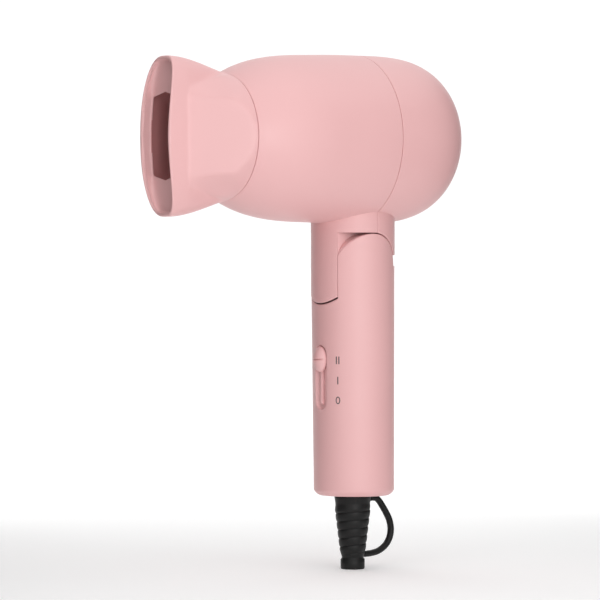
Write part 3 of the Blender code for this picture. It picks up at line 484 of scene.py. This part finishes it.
def oval(half_y, half_z, power):
    """Radius at each angle of a superellipse."""
    return ((cosine / half_y) ** power + (sine / half_z) ** power) ** (-1 / power)


def nozzle_radius(t):
    """The outside at a share t of the way to the mouth. A round tube is cut back by side, shoulder and top planes
    that move in from the seam; the wing shows wherever it is larger. Powers of 60 keep the crease lines tight."""
    s = min(1.0, t / panel_end)
    shrink = 1 - 0.5 * max(0.0, t - panel_end) / (1 - panel_end)
    side, top = (1.03 * socket_r - (1.03 * socket_r - end) * s for end in (panel_half_y, 0.0220))
    edge_z, wing_at = 0.0150 + 0.0028 * s, (0.0081 + 0.0022 * s, 0.0270 - 0.0042 * s)
    slope = (wing_at[1] - edge_z, side - wing_at[0])
    k = min(1.0, t / 0.5)
    reach = (slope[0] * side + slope[1] * edge_z) * (1.06 - 0.06 * k**2 * (3 - 2 * k))
    planes = (cosine / side) ** 60 + ((slope[0] * cosine + slope[1] * sine) / reach) ** 60 + (sine / top) ** 60
    body = shrink * socket_r * (1 + planes * socket_r**60) ** (-1 / 60)
    wing_y = 0.0085 + (mouth_half_y - 0.0085) * min(1.0, 1.35 * t) ** 0.8
    wing_z = socket_r + (mouth_half_z - socket_r) * math.sin(t * math.pi / 2)
    wing = oval(wing_y, wing_z, 2.6 + 0.7 * t)
    high = np.maximum(body, wing)
    return high * ((body / high) ** 60 + (wing / high) ** 60) ** (1 / 60) if t > 0 else socket_r + 0 * cosine


def slot_shape(half_y, half_z, power=48):
    """Radius of the throat's outline: a tall slot whose two short sides are shallow roofs."""
    return ((cosine / half_y) ** power + ((sine + 0.233 * cosine) / half_z) ** power) ** (-1 / power)


def nozzle_ring(x, radius):
    """Points round the axis at x, the ends of the tall section drawn back so that the rim bows forward."""
    z = radius * np.sin(nozzle_angle)
    reach = np.clip((x - seam_front) / (mouth_x - seam_front), 0, 1)
    return np.stack([x + mouth_bow * reach**2 * (z / mouth_half_z) ** 2, radius * np.cos(nozzle_angle), z], -1)


shell_wall = 0.0018
seam = seam_front - gap
length = mouth_x + shell_wall / 2 - seam
plug = socket_r - wall - gap
plug_end, groove_floor = -0.0648, plug - 0.0012
rings = [nozzle_ring(x, r + 0 * cosine) for x, r in
         ((plug_end, plug - 0.0021), (plug_end, plug - 0.0003), (plug_end - 0.0003, plug), (-0.0675, plug),
          (-0.0675, groove_floor), (-0.0693, groove_floor), (-0.0693, plug), (seam, plug), (seam, socket_r - 0.00025),
          (seam - 0.0001, socket_r - 0.00006))]
rings += [nozzle_ring(seam + length * t, nozzle_radius(t)) for t in np.linspace(0.006, 1, 92)]
lip_round = shell_wall / 2
lip = nozzle_radius(1.0) - lip_round
for a in np.radians(np.linspace(15, 165, 9)):
    rings.append(nozzle_ring(mouth_x + lip_round * (1 - math.sin(a)), lip + lip_round * math.cos(a)))
throat_x, throat_y, throat_z = -0.1031, 0.0093, 0.0194
bell_depth = throat_x - (mouth_x + lip_round)
bell_y, bell_z = mouth_half_y - shell_wall, mouth_half_z - shell_wall
mouth_shape, throat_shape = oval(bell_y, bell_z, 3.3), slot_shape(throat_y, throat_z)
for s in np.sin(np.linspace(0.04, math.pi / 2, 26)):
    fall = 1 - math.sqrt(max(0.0, 1 - s**2.4))
    rings.append(nozzle_ring(mouth_x + lip_round + bell_depth * s**0.85,
                             mouth_shape + (throat_shape - mouth_shape) * fall))
rings.append(nozzle_ring(throat_x + 0.0005, throat_shape))
for x, y, z, power in ((-0.1022, 0.0103, 0.0206, 12), (-0.0996, 0.0108, 0.0210, 12), (-0.0960, 0.0116, 0.0208, 8),
                       (-0.0900, 0.0140, 0.0212, 5), (-0.0850, 0.0163, 0.0214, 3), (-0.0780, 0.0200, 0.0222, 2.4),
                       (-0.0716, plug - 0.0029, plug - 0.0029, 2)):
    rings.append(nozzle_ring(x, oval(y, z, power)))
nozzle = piece("nozzle", [skin(np.stack(rings), around=True, along=True)], "nozzle", pink, ("concentrator_nozzle",),
               sharp=28)
# past the throat the same plastic is given a deeper tone, for the shade that gathers inside
nozzle.data.materials.append(moulded("nozzle_inside", (0.60, 0.25, 0.25), (0.64, 0.28, 0.28), 0.5))
for face in nozzle.data.polygons:
    x, y, z = np.array(face.center) - here
    past_throat = x - mouth_bow * (z / mouth_half_z) ** 2 > throat_x + 0.0002
    if past_throat and face.normal.y * y + face.normal.z * z < 0:
        face.material_index = 1

# ---------------------------------------------------------------- handle shell
# A tube with a straight back and a slightly tapered front, moulded in one with two domed cheeks that take the
# hinge pins, an oval dish and slot for the switch, and a rear window. Its bottom edge is well rounded.

handle_r, handle_bottom = 0.0189, -0.1610
cheek_half = tongue_half + 0.00014
slot_edge = math.asin(cheek_half / handle_r)
window_edge = math.asin(0.0105 / handle_r)
window_low, window_high = -0.1500, -0.0820
lip_base = -0.0780
dish_half, dish_top, dish_bottom = 0.0043, -0.0928, -0.1222
slot_half, slot_low, slot_high = 0.0015, -0.1196, -0.0954


def handle_radius(z):
    """Radius at height z; the tube's centre shifts by what it loses, which keeps the rear line upright."""
    return handle_r - 0.0007 * np.clip((z - pivot_z) / (handle_bottom - pivot_z), 0, 1)


def dish(y, z):
    """Depth of the switch's oval dish: 1.6 mm, with a wall that eases over 0.9 mm inside its outline."""
    beyond = np.maximum(0, np.maximum(z - (dish_top - dish_half), (dish_bottom + dish_half) - z))
    inside = dish_half - np.hypot(y, beyond)
    s = np.clip((inside + 0.00005) / 0.0009, 0, 1)
    return 0.0016 * s**2 * (3 - 2 * s)


def on_handle(angle, z, inset):
    """Points of the handle at an angle round its axis and a height, moved in by an inset."""
    r = handle_radius(z)
    return np.stack([handle_r - r + (r - inset) * np.cos(angle), (r - inset) * np.sin(angle), z + 0 * angle], -1)


near = np.array([0, 0.00005, 0.00012, 0.00022, 0.0004]) / handle_r
front_half = np.concatenate([np.arcsin(np.linspace(0, slot_half, 4) / handle_r),
                             np.arcsin(np.linspace(slot_half, 0.0052, 20)[1:] / handle_r),
                             np.linspace(math.asin(0.0052 / handle_r), slot_edge, 9)[1:-1], slot_edge - near[::-1]])
front_angles = math.pi + np.concatenate([-front_half[:0:-1], front_half])
dome_turn = np.linspace(0, math.acos((-0.0189 * math.cos(slot_edge) - pivot_x + 0.0003) / dome_r), 46)
cheek = np.arccos((pivot_x + dome_r * np.cos(dome_turn)) / handle_r)
cheek = np.concatenate([np.linspace(window_edge, cheek[0], 8)[:-1],
                        cheek[cheek < math.pi - slot_edge - 1.2 * near[-1]], math.pi - slot_edge - near[::-1]])
rear_half = np.concatenate([np.linspace(0, window_edge, 10)[:-1], cheek])
rear_angles = np.concatenate([-rear_half[:0:-1], rear_half])
all_angles = np.concatenate([front_angles, 2 * math.pi + rear_angles[1:-1]])

turn = np.linspace(0, math.pi / 2, 12)
foot = [(handle_bottom, inset) for inset in (handle_radius(handle_bottom) - 0.0077, 0.0060)]
foot += [(handle_bottom + 0.0025 * (1 - math.sin(a) ** 1.45), 0.0025 * (1 - math.cos(a) ** 1.45)) for a in turn[::-1]]
bands = ((handle_bottom + 0.0025, window_low, 6), (window_low, -0.1232, 14), (-0.1232, slot_low, 19),
         (slot_low, slot_high, 60), (slot_high, -0.0918, 19), (-0.0918, window_high, 6), (window_high, lip_base, 4))
tall = np.concatenate([np.linspace(low, high, count)[1:] for low, high, count in bands])
rows_z = np.concatenate([[z for z, _ in foot], tall])[:, None]
rows_in = np.concatenate([[i for _, i in foot], 0 * tall])[:, None]
angles = all_angles[None, :] + 0 * rows_z
side_y = handle_radius(rows_z) * np.sin(angles)
facing = np.cos(angles) < 0
main = on_handle(angles, rows_z + 0 * angles, rows_in + np.where(facing & (rows_in == 0), dish(side_y, rows_z), 0))
mid_z = (rows_z[1:, 0] + rows_z[:-1, 0]) / 2
next_angle = np.append(all_angles[1:], all_angles[0] + 2 * math.pi)
mid_angle = (all_angles + next_angle) / 2
mid_y = (handle_r * np.sin(mid_angle))[None, :]
level = mid_z[:, None]
slot_cells = (abs(mid_y) < slot_half) & (np.cos(mid_angle) < 0) & (level > slot_low) & (level < slot_high)
window_cells = (abs(mid_y) < 0.0105) & (np.cos(mid_angle) > 0) & (level > window_low) & (level < window_high)
parts = [skin(main, around=True, keep=~(slot_cells | window_cells))]

steps = np.concatenate([np.linspace(0, 1, 14)[:-1] * 0.86, [0.86, 0.90, 0.94, 0.97, 0.988, 1.0]])[:, None]
lip_y = handle_r * np.sin(front_angles)
lip_reach = math.sqrt(2) * (np.sqrt(neck_r**2 - lip_y**2) + pivot_x) + 0.00035
lip_x = -handle_r * np.cos(front_angles - math.pi) - pivot_x
lip_z = pivot_z - np.sqrt(lip_reach**2 - lip_x**2)
z = lip_base + (lip_z[None, :] - lip_base) * steps
parts.append(skin(on_handle(front_angles[None, :] + 0 * z, z, edge_drop(lip_z[None, :] - z, 0.0007))))
corner_z = float(lip_z[0])
z = lip_base + (corner_z - lip_base) * steps + 0 * rear_angles[None, :]
parts.append(skin(on_handle(rear_angles[None, :] + 0 * z, z, 0 * z)))
dome_x = handle_r * np.cos(rear_angles)[None, :] - pivot_x
dome_z = pivot_z + np.sqrt(np.clip(dome_r**2 - dome_x**2, 0, None))
steps = np.concatenate([np.linspace(0, 1, 40)[:-1] * 0.965, [0.965, 0.98, 0.99, 0.996, 1.0]])[:, None]
z = corner_z + (dome_z - corner_z) * steps
to_top = np.where((dome_x < dome_r) & (z > pivot_z), dome_r - np.hypot(dome_x, z - pivot_z),
                  np.where(dome_x < dome_r, 1.0, pivot_z - z))
to_slot = (math.pi - slot_edge - abs(rear_angles))[None, :] * handle_r + 0 * z
drop = np.maximum(edge_drop(to_top), edge_drop(to_slot, 0.00015) * (z > corner_z + 1e-6))
parts.append(skin(on_handle(rear_angles[None, :] + 0 * z, z, drop)))
handle_tube = piece("handle_tube", parts, "handle", pink, ("handle_shell",), wall=0.0020, sharp=32,
                    outward=lambda p: p * (1, 1, 0))
for vertex in handle_tube.data.vertices:  # the cheeks' inner walls are flat beside the tongue
    x, y, z = np.array(vertex.co) - here
    if x < -0.005 and abs(y) < cheek_half and z > corner_z + 1e-5:
        vertex.co.y = here[1] + math.copysign(cheek_half, y)

cheek_front, cheek_dome = -0.0152, dome_r - 0.00003
cheek_outline = [(cheek_front, lip_base), (cheek_front, pivot_z)]
first = math.acos((cheek_front - pivot_x) / cheek_dome)
cheek_outline += [(pivot_x + cheek_dome * math.cos(a), pivot_z + cheek_dome * math.sin(a))
                  for a in np.linspace(first, 0, 60)]
cheek_outline += [(0.0150, pivot_z - 0.00003), (0.0150, lip_base)]
ring_xz = np.array(cheek_outline)
for sign, side in ((-1, "left"), (1, "right")):
    rows = np.linspace(0, 1, 5)[:, None]
    reach = np.sqrt((handle_r - 0.0005) ** 2 - ring_xz[None, :, 0] ** 2)
    ys = sign * (cheek_half + (reach - cheek_half) * rows)
    grid = np.stack([ring_xz[None, :, 0] + 0 * ys, ys, ring_xz[None, :, 1] + 0 * ys], -1)
    caps = [skin(np.stack([np.tile([0.0, y, -0.066], (len(ring_xz), 1)), grid[k]]), around=True)
            for k, y in ((0, sign * cheek_half), (-1, sign * 0.0180))]
    piece(f"cheek_{side}", [skin(grid, around=True), *caps], "handle", pink, round_edge=0.0003)

# ---------------------------------------------------------------- rear cover of the handle
# A curved panel that closes the window behind the switch and the cord clamp. Two small pan-head screws sit in
# counterbores and thread into posts inside the tube.

screw_z, screw_sink, sink_r = (-0.0868, -0.1450), 0.0011, 0.0029
half = math.asin(0.0102 / handle_r)
panel_angles = np.linspace(-half, half, 49)[None, :]
panel_z = np.linspace(window_low + gap, window_high - gap, 150)[:, None]
grid = on_handle(panel_angles + 0 * panel_z, panel_z + 0 * panel_angles, 0.0)
for z0 in screw_z:
    distance = np.hypot(grid[..., 1], grid[..., 2] - z0)
    grid[..., 0] -= screw_sink * np.clip((sink_r - distance) / 0.00035, 0, 1)
piece("handle_panel", [skin(grid)], "handle", pink, ("handle_back_cover",), wall=0.0015, round_edge=0.00025,
      outward=lambda p: p * (1, 1, 0))

# ---------------------------------------------------------------- switch
# A three-position slide switch. The moulded button is an egg-shaped thumb pad split by a thin groove, and its
# forked stem straddles a rib that stands in the slot. Marks for the three positions are pad-printed beside it.

knob_y, knob_z, knob_at = 0.0039, 0.0058, -0.0992
s = np.linspace(-1, 1, 57)[None, :]
t = np.linspace(-1, 1, 101)
t = (np.sign(t) * abs(t) ** 1.35)[:, None]
pad_y = knob_y * s * np.sqrt(1 - t**2 / 2)
pad_z = knob_z * t * np.sqrt(1 - s**2 / 2)
dome = np.sqrt(np.clip(1 - 0.985 * ((pad_y / knob_y) ** 2 + (pad_z / knob_z) ** 2), 0, None))
split = np.exp(-np.clip(abs(pad_z) / 0.00030, 0, 8) ** 2)
ledge = np.exp(-(((abs(pad_z) - 0.0008) / 0.0009) ** 2)) * dome
pad_x = -handle_r + 0.0008 - 0.0030 * dome**1.15 + 0.00085 * split * dome - 0.00022 * ledge
pad = np.stack([pad_x, pad_y, pad_z + knob_at], -1)
rim = np.concatenate([pad[0, :-1], pad[:-1, -1], pad[-1, :0:-1], pad[:0:-1, 0]])
skirt = [rim]
for x in (0.0011, 0.0013):
    level = rim.copy()
    level[:, 0] = -handle_r + x
    skirt.append(level)
under = np.tile([-handle_r + 0.0013, 0, knob_at], (len(rim), 1))
piece("switch_button", [skin(pad), skin(np.stack([*skirt, under]), around=True)], "switch", pink,
      ("switch_knob",), sharp=45)
for sign, side in ((-1, "left"), (1, "right")):
    y0, y1 = sorted((0.00095 * sign, 0.00140 * sign))
    z0, z1 = knob_at - 0.0030, knob_at + 0.0030
    lump(f"switch_fork_{side}", [(y0, z0), (y1, z0), (y1, z1), (y0, z1)], -handle_r + 0.0010, -0.0140, "switch", pink,
         axis="X", round_edge=0.0001)

arc = np.linspace(-math.pi / 2, math.pi / 2, 13)
rib_half, rib_face, rib_back, rib_slope = 0.00072, -0.0175, -0.0145, 0.0012
rib_z = np.concatenate([np.linspace(slot_low - 0.0001, slot_low + rib_slope, 8),
                        np.linspace(slot_low + 0.002, slot_high, 30)])
rib_grid = []
for z in rib_z:
    sink = 0.0009 * max(0.0, 1 - (z - slot_low) / rib_slope) ** 2
    rib_grid.append([(rib_face + sink - 0.0004 * math.cos(a), rib_half * math.sin(a), z) for a in arc]
                    + [(rib_back, rib_half, z), (rib_back, -rib_half, z)])
rib_grid = np.array(rib_grid)
caps = [skin(np.stack([np.tile(rib_grid[k].mean(0), (15, 1)), rib_grid[k]]), around=True) for k in (0, -1)]
piece("slot_rib", [skin(rib_grid, around=True), *caps], "handle", pink, sharp=50)

mark_turn = math.pi + math.radians(31.5)
print_grey = moulded("print_ink", (0.085, 0.070, 0.070), (0.105, 0.088, 0.088), 0.55, depth=0.000002)


def printed(name, strokes):
    """Ink on the handle: each stroke is a grid of (sideways, up) points laid on the surface as a thin film that
    stands 0.03 mm proud."""
    parts = [skin(on_handle(mark_turn + across / handle_r, up, -0.00003)) for across, up in strokes]
    return piece(name, parts, "handle", print_grey, wall=0.00005,
                 outward=lambda p: p * (1, 1, 0))


def bar(middle, height, half_width=0.00026, tall=0.0017):
    """Grid of an upright stroke."""
    across = middle + np.linspace(-half_width, half_width, 3)[None, :] + np.zeros((9, 1))
    return across, height + np.linspace(-tall, tall, 9)[:, None] + 0 * across


printed("mark_high", [bar(-0.00062, -0.0995), bar(0.00062, -0.0995)])
printed("mark_low", [bar(0.0, -0.1086)])
a = np.linspace(0, 2 * math.pi, 49)[None, :]
edge = np.linspace(0, 1, 3)[:, None]
printed("mark_off", [((0.00066 + 0.00048 * edge) * np.cos(a), -0.1175 + (0.00122 + 0.00048 * edge) * np.sin(a))])

# ---------------------------------------------------------------- strain relief
# One soft black PVC moulding: a tapering sleeve wound with a spiral ridge so that it bends freely, a plain collar
# that snaps into the handle's floor, and a round loop at the back to hang the dryer by. It is open for the cord.

rubber = moulded("black_pvc", (0.010, 0.010, 0.010), (0.016, 0.016, 0.016), 0.40, grain=1500.0, depth=0.00002)
rubber.node_tree.nodes["Principled BSDF"].inputs["Specular IOR Level"].default_value = 0.2
top, tail_bottom, cord_r = handle_bottom - gap, -0.1947, 0.0036
start, end = top - 0.0034, tail_bottom + 0.0052
turns = np.linspace(0, 2 * math.pi, 120, endpoint=False)[None, :]
heights = np.linspace(start, end, 240)[:, None]
share = (heights - start) / (end - start)
ridge_pitch = 0.0038
phase = np.mod(heights / ridge_pitch - turns / (2 * math.pi), 1.0)
swell = np.minimum(1, np.minimum(7 * share, 7 * (1 - share)))
top_r, tail_r = 0.0083, 0.0055
radius = top_r - 0.0004 + (tail_r - top_r - 0.0002) * share + 0.0006 * swell * np.abs(np.sin(math.pi * phase)) ** 0.30
body_grid = np.stack([radius * np.cos(turns), radius * np.sin(turns), heights + 0 * turns], -1)


def level_ring(r, z):
    """A plain circle of the sleeve."""
    return np.stack([r * np.cos(turns[0]), r * np.sin(turns[0]), z + 0 * turns[0]], -1)


collar = [level_ring(r, z) for r, z in
          ((cord_r, -0.1560), (0.0092, -0.1560), (0.0092, -0.1582), (0.0074, -0.1582), (0.0074, top), (0.0077, top),
           (0.00812, top - 0.0001), (top_r, top - 0.00035), (top_r, top - 0.0010), (0.0081, top - 0.0022))]
tail = [level_ring(r, z) for r, z in
        ((tail_r, tail_bottom + 0.0044), (tail_r, tail_bottom + 0.0024), (tail_r, tail_bottom + 0.0007),
         (0.00535, tail_bottom + 0.0002), (0.0050, tail_bottom), (cord_r + 0.0002, tail_bottom),
         (cord_r, tail_bottom + 0.0003), (cord_r, tail_bottom + 0.012), (cord_r, -0.1700))]
sleeve = skin(np.concatenate([np.stack(collar), body_grid, np.stack(tail)]), around=True, along=True)

knots = np.array([(0.0078, -0.1630), (0.0124, -0.1629), (0.0147, -0.1642), (0.0169, -0.1670), (0.0190, -0.1701),
                  (0.0208, -0.1735), (0.0216, -0.1774), (0.0209, -0.1813), (0.0187, -0.1846), (0.0148, -0.1871),
                  (0.0100, -0.1881), (0.0045, -0.1883)])
fine_where = np.linspace(0, len(knots) - 1, 121)
tangent = np.gradient(knots, axis=0)
k = np.clip(fine_where.astype(int), 0, len(knots) - 2)
f = (fine_where - k)[:, None]
path = ((2 * f**3 - 3 * f**2 + 1) * knots[k] + (f**3 - 2 * f**2 + f) * tangent[k]
        + (3 * f**2 - 2 * f**3) * knots[k + 1] + (f**3 - f**2) * tangent[k + 1])
heading = np.gradient(path, axis=0)
heading /= np.linalg.norm(heading, axis=1)[:, None]
side = np.stack([heading[:, 1], -heading[:, 0]], -1)
loop_r, loop_sides = 0.00145, 20
around = np.linspace(0, 2 * math.pi, loop_sides, endpoint=False)
grid = np.zeros((len(path), loop_sides, 3))
grid[..., 0] = path[:, None, 0] + loop_r * side[:, None, 0] * np.cos(around)
grid[..., 1] = 1.15 * loop_r * np.sin(around)
grid[..., 2] = path[:, None, 1] + loop_r * side[:, None, 1] * np.cos(around)
caps = [skin(np.stack([np.tile(grid[i].mean(0), (loop_sides, 1)), grid[i]]), around=True) for i in (0, -1)]
piece("relief_sleeve", [sleeve], "handle", rubber, ("strain_relief",), sharp=60)
piece("hang_loop", [skin(grid, around=True), *caps], "handle", rubber, sharp=60)
lump("loop_web", [(0.0060, top), (0.0128, top), (0.0136, -0.1622), (0.0128, -0.1636), (0.0100, -0.1640),
                  (0.0060, -0.1644)], -0.0016, 0.0016, "handle", rubber, finish="black_rubber", round_edge=0.0005)

# ---------------------------------------------------------------- metal, mica and nylon parts inside
# What shows through the mouth, the inlet and the slots, and all that the shells hide: a punched steel screen, a
# sheet-mica heater with nichrome coils, a motor in its mount with a moulded fan, the switch, clamp, pins and screws.


def metal(name, dark, light, roughness, grain=900.0, depth=0.000006):
    """A bare metal: its tone and roughness drift, and a fine grain breaks up its shine."""
    paint = moulded(name, dark, light, roughness, grain, depth)
    paint.node_tree.nodes["Principled BSDF"].inputs["Metallic"].default_value = 1.0
    return paint


def flaky(name, dark, light):
    """Pressed sheet mica: pale flakes of every size, each a slightly different tone and tilt."""
    paint = moulded(name, dark, light, 0.45, grain=500.0, depth=0.00002)
    tree = paint.node_tree
    shader = tree.nodes["Principled BSDF"]
    place = add_node(tree, "ShaderNodeTexCoord", -1500, -500)
    flakes = add_node(tree, "ShaderNodeTexVoronoi", -1300, -500)
    flakes.inputs["Scale"].default_value, flakes.inputs["Randomness"].default_value = 620.0, 1.0
    tone = add_node(tree, "ShaderNodeValToRGB", -900, -500)
    tone.color_ramp.elements[0].color, tone.color_ramp.elements[1].color = (*dark, 1), (*light, 1)
    separate = add_node(tree, "ShaderNodeSeparateColor", -1100, -500)
    tree.links.new(place.outputs["Object"], flakes.inputs["Vector"])
    tree.links.new(flakes.outputs["Color"], separate.inputs["Color"])
    tree.links.new(separate.outputs["Red"], tone.inputs["Fac"])
    tree.links.new(tone.outputs["Color"], shader.inputs["Base Color"])
    return paint


def drawn_wire(name, dark, light):
    """Heating wire that has been hot: blue-grey to straw oxide bands along it."""
    paint = metal(name, dark, light, 0.38)
    tree = paint.node_tree
    place = add_node(tree, "ShaderNodeTexCoord", -1500, -500)
    bands = add_node(tree, "ShaderNodeTexWave", -1300, -500, bands_direction="X")
    bands.inputs["Scale"].default_value, bands.inputs["Distortion"].default_value = 60.0, 6.0
    tone = add_node(tree, "ShaderNodeValToRGB", -1000, -500)
    tone.color_ramp.elements[0].color, tone.color_ramp.elements[1].color = (*dark, 1), (*light, 1)
    tree.links.new(place.outputs["Object"], bands.inputs["Vector"])
    tree.links.new(bands.outputs["Fac"], tone.inputs["Fac"])
    tree.links.new(tone.outputs["Color"], tree.nodes["Principled BSDF"].inputs["Base Color"])
    return paint


steel = metal("bright_steel", (0.52, 0.52, 0.53), (0.62, 0.62, 0.63), 0.32)
zinc = metal("zinc_plate", (0.42, 0.43, 0.45), (0.58, 0.58, 0.58), 0.42, grain=300.0)
brass = metal("brass", (0.62, 0.42, 0.16), (0.72, 0.50, 0.22), 0.30)
nichrome = drawn_wire("nichrome", (0.18, 0.19, 0.24), (0.42, 0.36, 0.28))
mica = flaky("mica_sheet", (0.48, 0.41, 0.29), (0.70, 0.62, 0.48))
black_nylon = moulded("black_nylon", (0.018, 0.018, 0.020), (0.028, 0.028, 0.030), 0.48)
white_nylon = moulded("white_nylon", (0.66, 0.65, 0.60), (0.74, 0.73, 0.68), 0.40)
bakelite = moulded("phenolic", (0.030, 0.020, 0.016), (0.050, 0.034, 0.026), 0.30)
ceramic = moulded("fuse_ceramic", (0.70, 0.67, 0.60), (0.80, 0.78, 0.72), 0.50)
insulation = {"neutral": moulded("blue_insulation", (0.02, 0.09, 0.42), (0.03, 0.12, 0.50), 0.35),
              "low": moulded("white_insulation", (0.70, 0.70, 0.68), (0.78, 0.78, 0.76), 0.35),
              "high": moulded("brown_insulation", (0.13, 0.05, 0.02), (0.18, 0.07, 0.03), 0.35)}
finish_of = {"nozzle_snap_ring": steel, "inlet_screen": zinc, "outlet_grille": mica, "switch_carrier": white_nylon,
             "switch_body": black_nylon, "cord_clamp": white_nylon, "motor_can": zinc, "motor_shaft": steel,
             "motor_mount": black_nylon, "fan_impeller": white_nylon, "heater_board": mica, "mica_liner": mica,
             "heating_coil": nichrome, "thermostat": bakelite, "thermal_fuse": ceramic, "diode": bakelite,
             "switch_terminal": brass, "clamp_screw": steel, "handle_screw": steel, "neck_screw": steel,
             "hinge_pin": steel, "hinge_bush": white_nylon, "lead_neutral": insulation["neutral"],
             "lead_low": insulation["low"], "lead_high": insulation["high"]}
for node_name, node in frame["nodes"].items():
    for start, paint in finish_of.items():
        if node_name.startswith(start):
            node.data.materials.clear()
            node.data.materials.append(paint)
